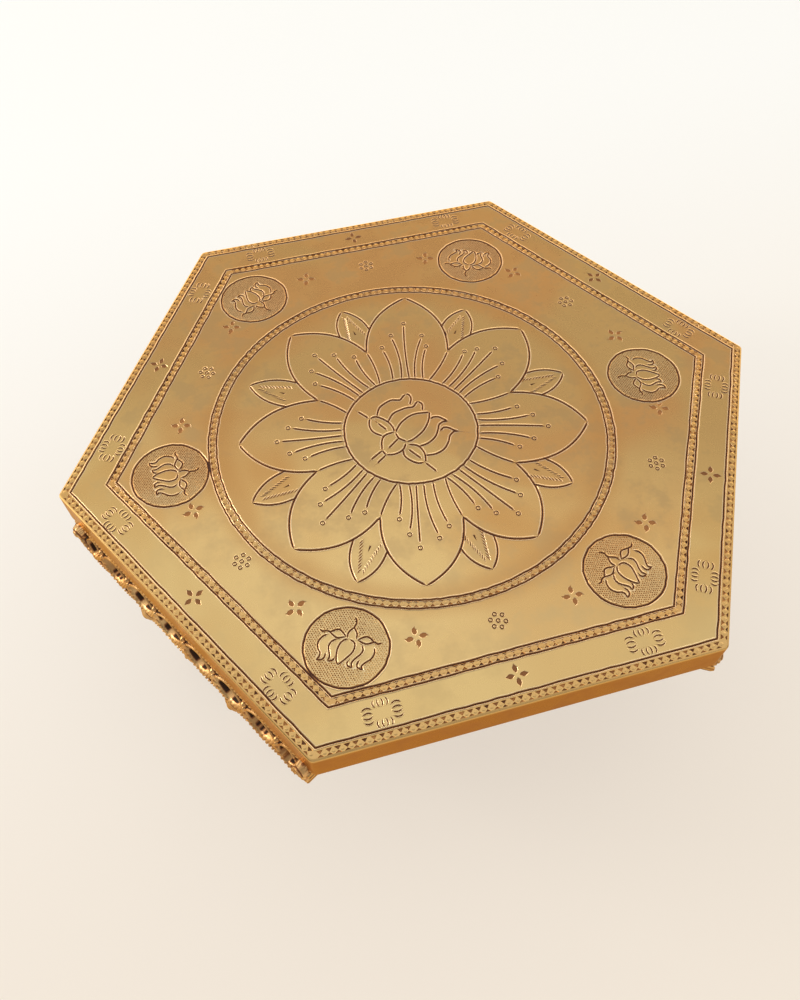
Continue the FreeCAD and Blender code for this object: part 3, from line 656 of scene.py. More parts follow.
def chasedSheet():
    places, edges, given, tones = layLines()
    points, lines, faces, known = geometry.delaunay_2d_cdt([Vector(p) for p in places], edges,
                                                           [], 1, 1e-3)[:4]
    flat = np.array([tuple(p) for p in points])

    def taken(values, choice):
        # what a point takes over from the marks that it belongs to
        return np.array([choice((values[k] for k in names), default=0) for names in known])

    crossed, crossedTones = struckHere(flat, known)
    struck = np.minimum(taken(given, min), crossed)
    raised = np.maximum(taken(given, max), crossed)
    heights, shades = cutHeights(flat)
    free = heights > -0.01
    heights = np.where(struck < 0, np.minimum(struck, heights), heights)
    heights = np.where((struck == 0) & free, np.maximum(raised, heights), heights)
    shades = np.maximum(shades, np.maximum(taken(tones, max), crossedTones))
    for middle, body, facing in roundGrounds:
        away = np.hypot(flat[:, 0] - middle[0], flat[:, 1] - middle[1])
        for k in np.flatnonzero(away < field["roundRadius"] - 0.4):
            if not within(flat[k], body):
                shades[k] = max(shades[k], sheet["groundShade"])
    print("sheet of", len(flat), "points and", len(faces), "faces")
    return flat, heights, shades, faces


def deselectAll():
    for other in bpy.context.selected_objects:
        other.select_set(False)


def newPiece(name, points, faces):
    mesh = bpy.data.meshes.new(name)
    mesh.from_pydata([tuple(p) for p in points], [], [tuple(f) for f in faces])
    piece = bpy.data.objects.new(name, mesh)
    bpy.context.scene.collection.objects.link(piece)
    deselectAll()
    piece.select_set(True)
    bpy.context.view_layer.objects.active = piece
    return piece


def markPatinaAndSheen(piece, values):
    # how deep each point lies under its surface, for the dark left by polishing, and where a cut's
    # lips take the pale painted highlight
    layer = piece.data.attributes.new("patinaAndSheen", "FLOAT", "POINT")
    layer.data.foreach_set("value", np.asarray(values, np.float32))


def growEdge(distance, toDistance, z, toZ):
    # extrudes the selected edge loop outward or inward, and down or up
    bpy.ops.mesh.extrude_region_move(TRANSFORM_OT_translate={"value": (0, 0, (toZ - z) * mm)})
    grow = toDistance / distance
    bpy.ops.transform.resize(value=(grow, grow, 1), center_override=(0, 0, 0))


def makeTop():
    flat, heights, dark, faces = chasedSheet()
    points = np.column_stack([flat * mm, topZ + (heights - sheet["lip"]) * mm])
    piece = newPiece("chased_top", points, faces)
    bpy.ops.object.mode_set(mode="EDIT")
    bpy.ops.mesh.select_mode(type="EDGE")
    bpy.ops.mesh.select_all(action="DESELECT")
    bpy.ops.mesh.select_non_manifold(extend=False, use_multi_face=False, use_non_contiguous=False,
                                     use_verts=False)
    rim, full = sheet["rim"], apothem
    high, low = topZ / mm - sheet["lip"], bandLowZ / mm
    inner = full - sheet["thickness"]
    lap = full - sheet["lap"]
    way = [(full - rim, high)]
    for turn in (30, 60, 90):
        way.append((full - rim + rim * math.sin(math.radians(turn)),
                    high - rim + rim * math.cos(math.radians(turn))))
    way += [(full, high - 7), (full, high - 14), (full, low + 0.8), (full - 0.25, low + 0.25),
            (full - 0.8, low), (lap, low), (lap, low + sheet["thickness"]),
            (inner, low + sheet["thickness"]), (inner, high - sheet["thickness"])]
    for (distance, z), (toDistance, toZ) in zip(way, way[1:]):
        growEdge(distance, toDistance, z, toZ)
    bpy.ops.mesh.edge_face_add()
    bpy.ops.mesh.select_all(action="DESELECT")
    bpy.ops.object.mode_set(mode="OBJECT")
    clear = np.zeros(len(piece.data.vertices))
    clear[:len(dark)] = dark
    markPatinaAndSheen(piece, clear)
    return piece


chasedTop = makeTop()
print("top made with", len(chasedTop.data.vertices), "points")


# Materials

def fill(tree, made, inputs):
    # a number or colour is set on its socket, the output of another node is linked to it
    for name, value in inputs.items():
        socket = made.inputs[name]
        if isinstance(value, bpy.types.NodeSocket):
            tree.links.new(value, socket)
        elif socket.type == "RGBA":
            socket.default_value = (*value, 1)
        else:
            socket.default_value = value


def node(tree, kind, inputs={}, **settings):
    made = tree.nodes.new(kind)
    made.location = 220 * (len(tree.nodes) % 9), -260 * (len(tree.nodes) // 9)
    for name, value in settings.items():
        setattr(made, name, value)
    fill(tree, made, inputs)
    return made


def newGroup(name, inputs, outputs):
    group = bpy.data.node_groups.new(name, "ShaderNodeTree")
    for label, kind in inputs:
        group.interface.new_socket(label, in_out="INPUT", socket_type=kind)
    for label in outputs:
        group.interface.new_socket(label, in_out="OUTPUT", socket_type="NodeSocketFloat")
    return group, node(group, "NodeGroupInput")


def mixColor(tree, first, second, factor, blend="MIX"):
    return node(tree, "ShaderNodeMix", {"Factor": factor, 6: first, 7: second},
                data_type="RGBA", blend_type=blend).outputs[2]


def mapRange(tree, value, low, high, toLow=0.0, toHigh=1.0):
    return node(tree, "ShaderNodeMapRange",
                {"Value": value, "From Min": low, "From Max": high, "To Min": toLow,
                 "To Max": toHigh}, interpolation_type="SMOOTHSTEP").outputs["Result"]


def maths(tree, operation, *values, **settings):
    return node(tree, "ShaderNodeMath", dict(enumerate(values)), operation=operation,
                **settings).outputs[0]


def placeMaths(tree, operation, place, other):
    return node(tree, "ShaderNodeVectorMath", {0: place, 1: other},
                operation=operation).outputs["Value"]


def noiseOf(tree, place, scale, detail, more={}):
    return node(tree, "ShaderNodeTexNoise", {"Vector": place, "Scale": scale,
                                             "Detail": detail, **more}).outputs["Fac"]


def bumpOf(tree, height, strength, distance, more={}):
    return node(tree, "ShaderNodeBump", {"Height": height, "Strength": strength,
                                         "Distance": distance, **more}).outputs["Normal"]


def cloudGroup():
    # soft clouds, smudges and fine scratches, from a place and a scale
    group, start = newGroup("brassClouds", [("Place", "NodeSocketVector"),
                                            ("Scale", "NodeSocketFloat")],
                            ["Clouds", "Smudges", "Scratches"])
    place, scale = start.outputs["Place"], start.outputs["Scale"]
    clouds = noiseOf(group, place, scale, 3, {"Distortion": 0.8})
    smudges = noiseOf(group, place, maths(group, "MULTIPLY", scale, 5), 6, {"Roughness": 0.62})
    stretched = node(group, "ShaderNodeMapping", {"Vector": place, "Rotation": (0, 0, 0.5),
                                                  "Scale": (900, 60, 500)})
    scratches = noiseOf(group, stretched.outputs["Vector"], 1, 4, {"Roughness": 0.7})
    node(group, "NodeGroupOutput", {"Clouds": mapRange(group, clouds, 0.38, 0.6),
                                    "Smudges": mapRange(group, smudges, 0.35, 0.7),
                                    "Scratches": mapRange(group, scratches, 0.55, 0.75)})
    return group


brassClouds = cloudGroup()


def newMaterial(name):
    material = bpy.data.materials.new(name)
    material.use_nodes = True
    tree = material.node_tree
    tree.nodes.clear()
    shader = node(tree, "ShaderNodeBsdfPrincipled")
    node(tree, "ShaderNodeOutputMaterial", {"Surface": shader.outputs["BSDF"]})
    return material, tree, shader, node(tree, "ShaderNodeTexCoord").outputs["Object"]


def brassMaterial(name, look):
    material, tree, shader, place = newMaterial(name)
    tone = node(tree, "ShaderNodeGroup", {"Scale": look["cloudScale"], "Place": place},
                node_tree=brassClouds).outputs
    patinaAndSheen = node(tree, "ShaderNodeAttribute", attribute_name="patinaAndSheen").outputs["Fac"]
    color = mixColor(tree, look["light"], look["deep"], tone["Clouds"])
    color = mixColor(tree, color, look["dull"],
                     mapRange(tree, tone["Smudges"], 0.2, 1.0, 0, look["smudge"]))
    if look["zones"]:
        color = hexZones(tree, place, color, tone["Clouds"], tone["Smudges"])
    # rubbed pale beside a cut, partly real burnish and partly a painted highlight, stained on its
    # slopes and dark at the bottom
    pale = maths(tree, "MULTIPLY", mapRange(tree, patinaAndSheen, 0.04, 0.12, 0, look["burnishHighlight"]),
                 mapRange(tree, patinaAndSheen, 0.17, 0.27, 1, 0))
    color = mixColor(tree, color, look["pale"], pale)
    color = mixColor(tree, color, look["stain"], mapRange(tree, patinaAndSheen, 0.2, 0.5))
    color = mixColor(tree, color, look["dark"], mapRange(tree, patinaAndSheen, 0.45, 0.8))
    smooth = mapRange(tree, tone["Smudges"], 0, 1, look["rough"], look["rough"] + 0.12)
    dents = bumpOf(tree, noiseOf(tree, place, look["waveScale"], 1.5), 1, look["waveHeight"])
    fill(tree, shader, {
        "Base Color": color,
        "Roughness": maths(tree, "ADD", smooth, mapRange(tree, patinaAndSheen, 0.1, 0.8, 0, 0.35),
                           use_clamp=True),
        "Metallic": mapRange(tree, patinaAndSheen, 0.3, 1.0, 1.0, 0.35),
        "Normal": bumpOf(tree, tone["Scratches"], 0.5, look["fineHeight"], {"Normal": dents}),
        "Specular Tint": (0.95, 0.68, 0.36)})
    return material


# Tints over the whole top: each fades in and out by the distance to the sides, by the slant from
# the front left to the back right, or by the height. The tints by the slant and by the height are
# painted light and shade.

tints = {
    "outerBand": (0.62, 0.46, 0.17),
    "farShade": ((0.485, 0.298, 0.114), (0.515, 0.275, 0.104)),
    "farSmudge": (0.36, 0.25, 0.12),
    "litNearLeft": (0.76, 0.57, 0.27),
    "besideRound": (0.5, 0.25, 0.08),
    "rows": (0.66, 0.34, 0.1),
    "shadedTurnedDown": ((0.5, 0.23, 0.05), (0.42, 0.175, 0.078)),
    "fold": (0.72, 0.45, 0.17),
    "slant": 0.45,
}


def hexZones(tree, place, color, clouded, smudged):
    split = node(tree, "ShaderNodeSeparateXYZ", {0: place}).outputs
    reach = 0
    for k in range(3):
        outward = placeMaths(tree, "DOT_PRODUCT", place, (*polar(1, 60 * k + 30), 0))
        reach = maths(tree, "MAXIMUM", reach, maths(tree, "ABSOLUTE", outward))
    slant = maths(tree, "MULTIPLY_ADD", split["X"], tints["slant"], split["Y"])
    # the back right of the top is painted browner, with smudges in it, as painted shade
    backShade = mixColor(tree, *tints["farShade"], clouded)
    backShade = mixColor(tree, backShade, tints["farSmudge"], mapRange(tree, smudged, 0.45, 0.9, 0, 0.45))
    middle = (border["roundMiddle"][0] * mm, border["roundMiddle"][1] * mm, topZ)
    fromRound = maths(tree, "ABSOLUTE", maths(tree, "SUBTRACT", placeMaths(
        tree, "DISTANCE", place, middle), border["roundInner"] * mm))
    layers = [(tints["outerBand"], mapRange(tree, reach, 0.152, 0.156, 0, 0.35)),
              (backShade, mapRange(tree, slant, -0.12, 0.03, 0, 0.88)),
              # the front left of the top is painted lighter as a painted highlight
              (tints["litNearLeft"], mapRange(tree, slant, -0.14, -0.05, 0.5, 0)),
              (tints["besideRound"], mapRange(tree, fromRound, 0.002, 0.014, 0.4, 0))]
    for inner, outer, strength in ((border["innerLine"], border["outerLine"], 0.45),
                                   (border["rimLine"] + 1, apothem, 0.4)):
        start = mapRange(tree, reach, inner * mm - 0.001, inner * mm, 0, strength)
        stop = mapRange(tree, reach, outer * mm, outer * mm + 0.001, 1, 0)
        layers.append((tints["rows"], maths(tree, "MULTIPLY", start, stop)))
    # the turned-down band is painted darker orange than the top as painted shade, and lighter
    # towards the left side as painted light
    bandShade = mixColor(tree, *tints["shadedTurnedDown"], mapRange(tree, split["X"], -0.17, -0.08))
    layers.append((bandShade, mapRange(tree, split["Z"], topZ - 0.0032, topZ - 0.001, 1, 0)))
    # the rounded fold along the rim gets a golden painted highlight line
    foldHighlight = maths(tree, "MULTIPLY", mapRange(tree, reach, 0.1747, 0.1752, 0, 0.8),
                   mapRange(tree, split["Z"], topZ - 0.0012, topZ - 0.0006))
    layers.append((tints["fold"], foldHighlight))
    for tint, mask in layers:
        color = mixColor(tree, color, tint, mask)
    return color


sheetBrass = brassMaterial("polishedSheetBrass", {
    "light": (0.75, 0.52, 0.22), "deep": (0.62, 0.35, 0.12), "dull": (0.5, 0.34, 0.16),
    "pale": (0.96, 0.86, 0.68), "stain": (0.42, 0.19, 0.07), "dark": (0.07, 0.024, 0.02),
    "cloudScale": 9.0, "smudge": 0.62, "burnishHighlight": 0.4, "rough": 0.26, "zones": True,
    "waveScale": 14.0, "waveHeight": 0.0014, "fineHeight": 0.00004})
chasedTop.data.materials.append(sheetBrass)
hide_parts("top_cap")
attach(chasedTop, "root")


# The friezes: a pierced casting under every other side, drawn by its run along the side and
# its drop below the band. The relief stands out from the plate.

frieze = {
    "half": 98.6,
    "waves": 8,
    "low": 26.0,
    "scallop": 4.0,
    "end": 13.0,
    "face": apothem - 1.0,
    "lean": 3.0,
    "leanDrop": 15.6,
    "thickness": 4.0,
    "step": 0.55,
    "eyeDrop": 9.75,
    "eyeHalf": 5.25,
    "eyeRun": 10.62,
    "endEye": (82.3, 6.6),
    "slitDrop": 19.7,
    "slitHalf": 3.5,
    "slitRun": 1.7,
    "vineDrop": 11.35,
    "vineSag": 5.85,
    "vineHalf": 1.75,
    "vineProud": 4.9,
    "wing": (15.6, 19.0, 10.5, 6.3),
    "leaf": (17.2, 11.0, 4.5, 4.6),
    "petal": (0.0, 9.5, 2.3, 5.2),
    "fanDrop": 19.0,
    "scroll": (93.4, 5.2, 4.5, 6.3),
    "flange": ((-94.6, -54.5), (-19.5, 19.5), (54.5, 94.6)),
    "flangeWidth": 15.0,
    "flangeHeight": 3.0,
    "barBeads": ((5.4, 1.7, 2.2), (9.2, 1.2, 1.8)),
}
wavePitch = 2 * frieze["half"] / frieze["waves"]
legRun = 1.5 * wavePitch


def deepest():
    return frieze["low"] + frieze["scallop"]


def acrossWave(run):
    # distance from the middle of the nearest wave
    return (run + frieze["half"]) % wavePitch - wavePitch / 2


def scallopAt(across):
    return frieze["low"] + frieze["scallop"] * (1 - (2 * across / wavePitch) ** 2)


def friezeLow(run):
    # the lower edge: scallops, rounded ends and the tips of the two feathered leaves
    low = scallopAt(acrossWave(run))
    toEnd = (np.abs(run) - frieze["half"]) * 2 / wavePitch + 1
    low = np.where(toEnd > 0, deepest() - (deepest() - frieze["end"]) * toEnd ** 2, low)
    top, length, half, proud = frieze["wing"]
    away = np.abs(np.abs(run) - legRun) / half
    tip = top + length * (1 + np.sqrt(np.clip(1 - away, 0, 1))) / 2
    return np.where(away < 1, np.maximum(low, tip), low)


def openings(run, drop):
    # above zero inside a pierced eye or slit; the eyes at the ends are shorter
    middle, half = frieze["endEye"]
    atEnd = np.abs(run) > frieze["half"] - wavePitch
    across = np.where(atEnd, (np.abs(run) - middle) / half, acrossWave(run) / frieze["eyeRun"])
    eye = 1 - across ** 2 - np.abs(drop - frieze["eyeDrop"]) / frieze["eyeHalf"]
    between = wavePitch / 2 - np.abs(acrossWave(run))
    slit = 1 - ((drop - frieze["slitDrop"]) / frieze["slitHalf"]) ** 2 - between / frieze["slitRun"]
    slit = np.where(np.abs(run) < wavePitch / 2, -1, slit)
    slit = np.where(np.abs(run) > frieze["half"] - wavePitch / 2, -1, slit)
    return eye, slit


def roundOver(away, half):
    return np.sqrt(np.clip(1 - (away / half) ** 2, 0, 1))


def layer(height, dark):
    # lays a raised form over what is there, wherever it stands higher
    def lay(inside, level, shade):
        higher = inside & (level > height)
        height[higher] = level[higher]
        dark[higher] = shade[higher]

    return lay


def leafRelief(across, along, shape, veins):
    # outline, height and darkness of a hanging leaf with a rib and slanting veins
    top, length, half, proud = shape
    share = (along - top) / length
    edge = half * np.clip(4 * share * (1 - share), 0, 1) ** 0.8
    away = np.abs(across) / np.maximum(edge, 0.01)
    dome = np.clip(1 - away ** 2.4, 0, 1)
    dome *= np.clip(np.sin(np.pi * np.clip(share, 0, 1)), 0, 1) ** 0.4
    wave = 0.5 - 0.5 * np.cos(2 * np.pi * (along - 0.85 * np.abs(across)) / veins)
    rib = roundOver(across, 0.16 * half)
    cut = np.where(rib > 0, 0, wave * np.clip(away * 4 - 0.4, 0, 1))
    height = proud * (0.42 + 0.5 * dome) - 0.1 * proud ** 0.5 * cut * 2 + 0.08 * proud * rib
    return (away < 1) & (share > 0) & (share < 1), height, 0.62 * cut


def friezeRelief(run, drop):
    # the plate leans out from the board to the vine
    plate = frieze["lean"] * np.clip(drop / frieze["leanDrop"], 0, 1)
    height, dark = plate - 0.3, np.full(len(run), 0.9)
    lay = layer(height, dark)
    across = acrossWave(run)
    # a rope along the top and the ends
    twist = 0.5 + 0.5 * np.cos(2 * np.pi * (run / 2.3 + drop / 3.0))
    for away in (drop - 1.7, frieze["half"] - np.abs(run) - 1.6):
        strand = roundOver(away, 1.4)
        lay(strand > 0, plate + strand * (0.72 + 0.28 * twist), 0.5 * (1 - twist))
    # rims round the openings
    for hole, reach in zip(openings(run, drop), (0.34, 0.9)):
        rim = roundOver(hole + reach / 2, reach / 2)
        lay(rim > 0, plate + 0.9 * rim, 0.25 * (1 - rim))
    # the vine waves below the eyes
    lean = 2 * across / wavePitch
    sag = frieze["vineDrop"] + frieze["vineSag"] * (1 - lean ** 2)
    slope = 4 * frieze["vineSag"] * lean / wavePitch
    away = (drop - sag) / np.sqrt(1 + slope ** 2)
    body = roundOver(away, frieze["vineHalf"])
    twist = 0.5 + 0.5 * np.cos(2 * np.pi * (run / 2.7 + away / 3.4))
    lay(body > 0, plate + (frieze["vineProud"] - 3.0) * body - 0.3 * (1 - twist),
        0.45 * (1 - twist) * body + 0.4 * (1 - body))
    # feathered leaves over the legs, small ones between, and a fan in the middle
    fromLeg = np.abs(run) - legRun
    top, length, half, proud = frieze["wing"]
    for share, high in ((1.0, 0.72), (0.64, 1.0)):
        shape = (top + length * (1 - share) / 2, length * share, half * share, proud * high)
        lay(*leafRelief(fromLeg, drop, shape, 1.7))
    small = np.where(np.abs(fromLeg) < wavePitch / 2, 99, across)
    lay(*leafRelief(small, drop, frieze["leaf"], 1.5))
    top, length, half, proud = frieze["petal"]
    below = drop - frieze["fanDrop"]
    for k in range(-2, 3):
        turn = math.radians(37.5 * k)
        shape = (top, length * (1 - abs(k) / 8), half, proud * (1 - abs(k) / 12))
        lay(*leafRelief(run * math.cos(turn) - below * math.sin(turn),
                        run * math.sin(turn) + below * math.cos(turn), shape, 1.3))
    boss = roundOver(np.hypot(run, below + 0.8), 2.5)
    lay(boss > 0, 2.4 + 2.4 * boss, np.zeros(len(run)))
    # beads along the scallops and over the bars between the eyes
    beadRun = wavePitch / 10
    nearest = np.round(across / beadRun) * beadRun
    bead = roundOver(np.hypot(across - nearest, drop - scallopAt(nearest) + 1.75), 1.0)
    bead *= np.abs(run) < frieze["half"] - wavePitch / 2
    lay(bead > 0, plate + 0.2 + 1.1 * bead, 0.3 * (1 - bead))
    between = wavePitch / 2 - np.abs(across)
    for place, size, proud in frieze["barBeads"]:
        bead = roundOver(np.hypot(between, drop - place), size)
        lay(bead > 0, plate + proud * bead, 0.25 * (1 - bead))
    # a curled scroll at each end
    middle, level, radius, proud = frieze["scroll"]
    across, down = (middle - np.abs(run)), drop - level
    away, turn = np.hypot(across, down), np.arctan2(down, across)
    curl = (0.5 + 0.5 * np.cos(2 * np.pi * (away / 1.9) - turn)) * (away > 0.8)
    dome = roundOver(away, radius)
    lay(dome > 0, proud * (0.45 + 0.5 * dome) - 0.7 * curl, 0.7 * curl)
    return height, dark


def lensLines(run, drop, halfRun, halfDrop, upright):
    # a closed outline with two curved sides
    shares = np.linspace(-1, 1, 15)[:-1]
    bend = 1 - shares ** 2
    if upright:
        return ([(run + halfRun * b, drop + halfDrop * t) for t, b in zip(shares, bend)]
                + [(run - halfRun * b, drop - halfDrop * t) for t, b in zip(shares, bend)])
    return ([(run + halfRun * t, drop - halfDrop * b) for t, b in zip(shares, bend)]
            + [(run - halfRun * t, drop + halfDrop * b) for t, b in zip(shares, bend)])


def reliefPlate():
    half, step = frieze["half"], frieze["step"]
    runs = np.linspace(-half, half, round(2 * half / 0.8))
    lower = list(zip(runs[::-1], friezeLow(runs[::-1])))
    upper = [(run, 0.0) for run in runs]
    ends = [(half, drop) for drop in np.arange(1, frieze["end"])]
    outline = upper + ends + lower + [(-run, drop) for run, drop in reversed(ends)]
    loops = [outline]
    middles = [(k + 0.5) * wavePitch - half for k in range(frieze["waves"])]
    eyes = [(middle, frieze["eyeRun"]) for middle in middles[1:-1]]
    eyes += [(end * frieze["endEye"][0], frieze["endEye"][1]) for end in (-1, 1)]
    for middle, reach in eyes:
        loops.append(lensLines(middle, frieze["eyeDrop"], reach, frieze["eyeHalf"], False))
    for middle in middles[:-1]:
        if abs(middle + wavePitch / 2) > 1:
            loops.append(lensLines(middle + wavePitch / 2, frieze["slitDrop"], frieze["slitRun"],
                                   frieze["slitHalf"], True))
    places, edges = [], []
    for loop in loops:
        first, count = len(places), len(loop)
        places += loop
        edges += [(first + k, first + (k + 1) % count) for k in range(count)]
    rows = np.arange(step / 2, 36, step * 0.87)
    columns = np.arange(-half + step / 2, half, step)
    run, drop = np.meshgrid(columns, rows)
    run = (run + (np.arange(len(rows)) % 2)[:, None] * step / 2).ravel()
    drop = drop.ravel()
    eye, slit = openings(run, drop)
    keep = ((drop < friezeLow(run) - step / 2) & (np.abs(run) < half - step / 2)
            & (eye < -0.05) & (slit < -0.15))
    places += list(zip(run[keep], drop[keep]))
    made = geometry.delaunay_2d_cdt([Vector(p) for p in places], edges, [], 1, 1e-4)
    flat = np.array([tuple(p) for p in made[0]])
    faces = np.array(made[2])
    middle = flat[faces].mean(axis=1)
    eye, slit = openings(middle[:, 0], middle[:, 1])
    return flat, faces[(eye < 0) & (slit < 0)]


def addBox(low, high):
    # a box between two corners in millimetres
    middle = [(a + b) / 2 * mm for a, b in zip(low, high)]
    size = [(b - a) * mm for a, b in zip(low, high)]
    deselectAll()
    bpy.ops.mesh.primitive_cube_add(size=1, location=middle, scale=size)
    bpy.ops.object.transform_apply(location=True, rotation=True, scale=True)
    return bpy.context.active_object


def soften(piece, width=0.4):
    change = piece.modifiers.new("softEdges", "BEVEL")
    change.width = width * mm
    change.segments = 2
    bpy.context.view_layer.objects.active = piece
    bpy.ops.object.modifier_apply(modifier=change.name)

def joinPieces(main, others):
    deselectAll()
    for other in [main] + others:
        other.select_set(True)
    bpy.context.view_layer.objects.active = main
    bpy.ops.object.join()
    return main


def facesOut(piece, smooth=40):
    deselectAll()
    piece.select_set(True)
    bpy.context.view_layer.objects.active = piece
    bpy.ops.object.mode_set(mode="EDIT")
    bpy.ops.mesh.select_all(action="SELECT")
    bpy.ops.mesh.normals_make_consistent(inside=False)
    bpy.ops.object.mode_set(mode="OBJECT")
    bpy.ops.object.shade_smooth_by_angle(angle=math.radians(smooth))


def makeFrieze():
    flat, faces = reliefPlate()
    height, dark = friezeRelief(flat[:, 0], flat[:, 1])
    low = bandLowZ / mm
    points = np.column_stack([flat[:, 0], -frieze["face"] - height, low - flat[:, 1]]) * mm
    piece = newPiece("friezePattern", points, faces)
    markPatinaAndSheen(piece, dark)
    bpy.ops.object.mode_set(mode="EDIT")
    bpy.ops.mesh.select_all(action="SELECT")
    bpy.ops.mesh.extrude_region_move(
        TRANSFORM_OT_translate={"value": (0, frieze["thickness"] * mm, 0)})
    back = -(frieze["face"] - frieze["thickness"]) * mm
    bpy.ops.transform.resize(value=(1, 0, 1), center_override=(0, back, 0))
    tilt = math.atan2(frieze["lean"], deepest())
    bpy.ops.transform.rotate(value=tilt, orient_axis="X", center_override=(0, back, low * mm))
    bpy.ops.object.mode_set(mode="OBJECT")
    flanges = []
    inner = frieze["thickness"] + frieze["flangeWidth"] - frieze["face"]
    for start, stop in frieze["flange"]:
        flange = addBox((start, 1.0 - frieze["face"], low - frieze["flangeHeight"]),
                        (stop, inner, low))
        soften(flange)
        flanges.append(flange)
    joinPieces(piece, flanges)
    facesOut(piece)
    return piece


def castCopies(pattern, names, places, material):
    # each copy stands at its run along its side, turned by steps of a sixth
    for name, (step, run) in zip(names, places):
        deselectAll()
        pattern.select_set(True)
        bpy.context.view_layer.objects.active = pattern
        bpy.ops.object.duplicate()
        piece = bpy.context.active_object
        piece.name = "cast_" + name
        piece.data.name = piece.name
        angle = sixth * step
        piece.location = (run * mm * math.cos(angle), run * mm * math.sin(angle), 0)
        piece.rotation_euler = (0, 0, angle)
        bpy.ops.object.transform_apply(location=True, rotation=True, scale=True)
        piece.data.materials.append(material)
        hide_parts(name)
        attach(piece, "root")
    bpy.data.objects.remove(pattern)


castBrass = brassMaterial("agedCastBrass", {
    "light": (0.74, 0.46, 0.2), "deep": (0.62, 0.34, 0.13), "dull": (0.42, 0.24, 0.1),
    "pale": (0.95, 0.7, 0.36), "stain": (0.3, 0.12, 0.05), "dark": (0.04, 0.018, 0.014),
    "cloudScale": 22.0, "smudge": 0.55, "burnishHighlight": 0.0, "rough": 0.26, "zones": False,
    "waveScale": 60.0, "waveHeight": 0.0004, "fineHeight": 0.00003})
castCopies(makeFrieze(), ["frieze_%d" % k for k in (1, 2, 3)], [(1, 0), (3, 0), (5, 0)],
           castBrass)
print("friezes made")


# The legs: hollow castings behind the friezes. Each station gives its height, how far its nose
# stands back from the frieze and the radius of its curve.

leg = {
    "stations": [(98.6, 1.0, 15.0), (69.0, 2.0, 15.0), (54.2, 0.6, 17.0), (36.5, 3.0, 12.0),
                 (16.8, 8.0, 9.5), (5.0, 3.0, 14.0)],
    "wall": 5.5,
    "columns": 56,
    "backColumns": 13,
    "rowStep": 0.6,
    "halfTurn": 60,
    "rings": ((67.2, 1.1, 0.9), (64.6, 1.0, 1.2), (62.4, 0.8, 0.8), (21.2, 0.8, 0.7),
              (19.2, 1.1, 1.2), (17.2, 0.8, 0.7)),
    "kneeLeafTop": 61.4,
    "kneeLeafLength": 34.0,
    "pad": [(-14.5, 7.5), (14.5, 7.5), (14.5, 26.0), (7.5, 40.0), (-7.5, 40.0), (-14.5, 26.0)],
    "padHeight": 3.0,
}


def stationCurve(heights):
    # back and radius at each height, smooth through the stations
    samples = splineThrough(leg["stations"], lambda start, end: np.linspace(0, 1, 40))
    z, back, radius = np.array(samples)[::-1].T
    return np.interp(heights, z, back), np.interp(heights, z, radius)


def legRelief(turn, z):
    # turn is the angle from the nose, to both sides
    height, dark = np.full(turn.shape, -0.35), np.full(turn.shape, 0.35)
    lay = layer(height, dark)
    for place, half, proud in leg["rings"]:
        ring = roundOver(z - place, half)
        lay(ring > 0, proud * ring, 0.3 * (1 - ring))
    # reeds above the collar, flutes down the shin
    reed = np.abs(np.cos(np.radians(turn) * 9))
    lay(z > 68.6, 0.5 * reed - 0.1, 0.5 * (1 - reed))
    flute = np.abs(np.cos(np.radians(turn) * 6))
    lay((z > 22) & (z < 44), 0.5 * flute - 0.3, 0.6 * (1 - flute))
    # a long leaf over the knee with lobed edges and veins
    down, length = leg["kneeLeafTop"] - z, leg["kneeLeafLength"]
    share = np.clip(down / length, 0, 1)
    lobes = 1 + 0.16 * np.cos(2 * np.pi * share * 5)
    edge = 44 * (1 - share) ** 0.75 * lobes + 2
    away = np.abs(turn) / edge
    rib = roundOver(turn, 5.5)
    veins = 0.5 - 0.5 * np.cos(2 * np.pi * (down - np.abs(turn) * 0.16) / 2.6)
    veins = veins * (rib == 0)
    level = 0.55 + 0.75 * (1 - away ** 2) - 0.42 * veins + 0.35 * rib
    lay((away < 1) & (down > 0) & (z > leg["kneeLeafTop"] - length), level, 0.7 * veins)
    # a ball and toes at the foot
    toes = np.abs(np.cos(np.radians(turn) * 3.6))
    foot = np.clip((15.5 - z) / 9, 0, 1)
    lay(z < 15.6, (0.5 * toes ** 0.5 - 0.2) * foot, 0.7 * (1 - toes) * foot)
    return height, dark


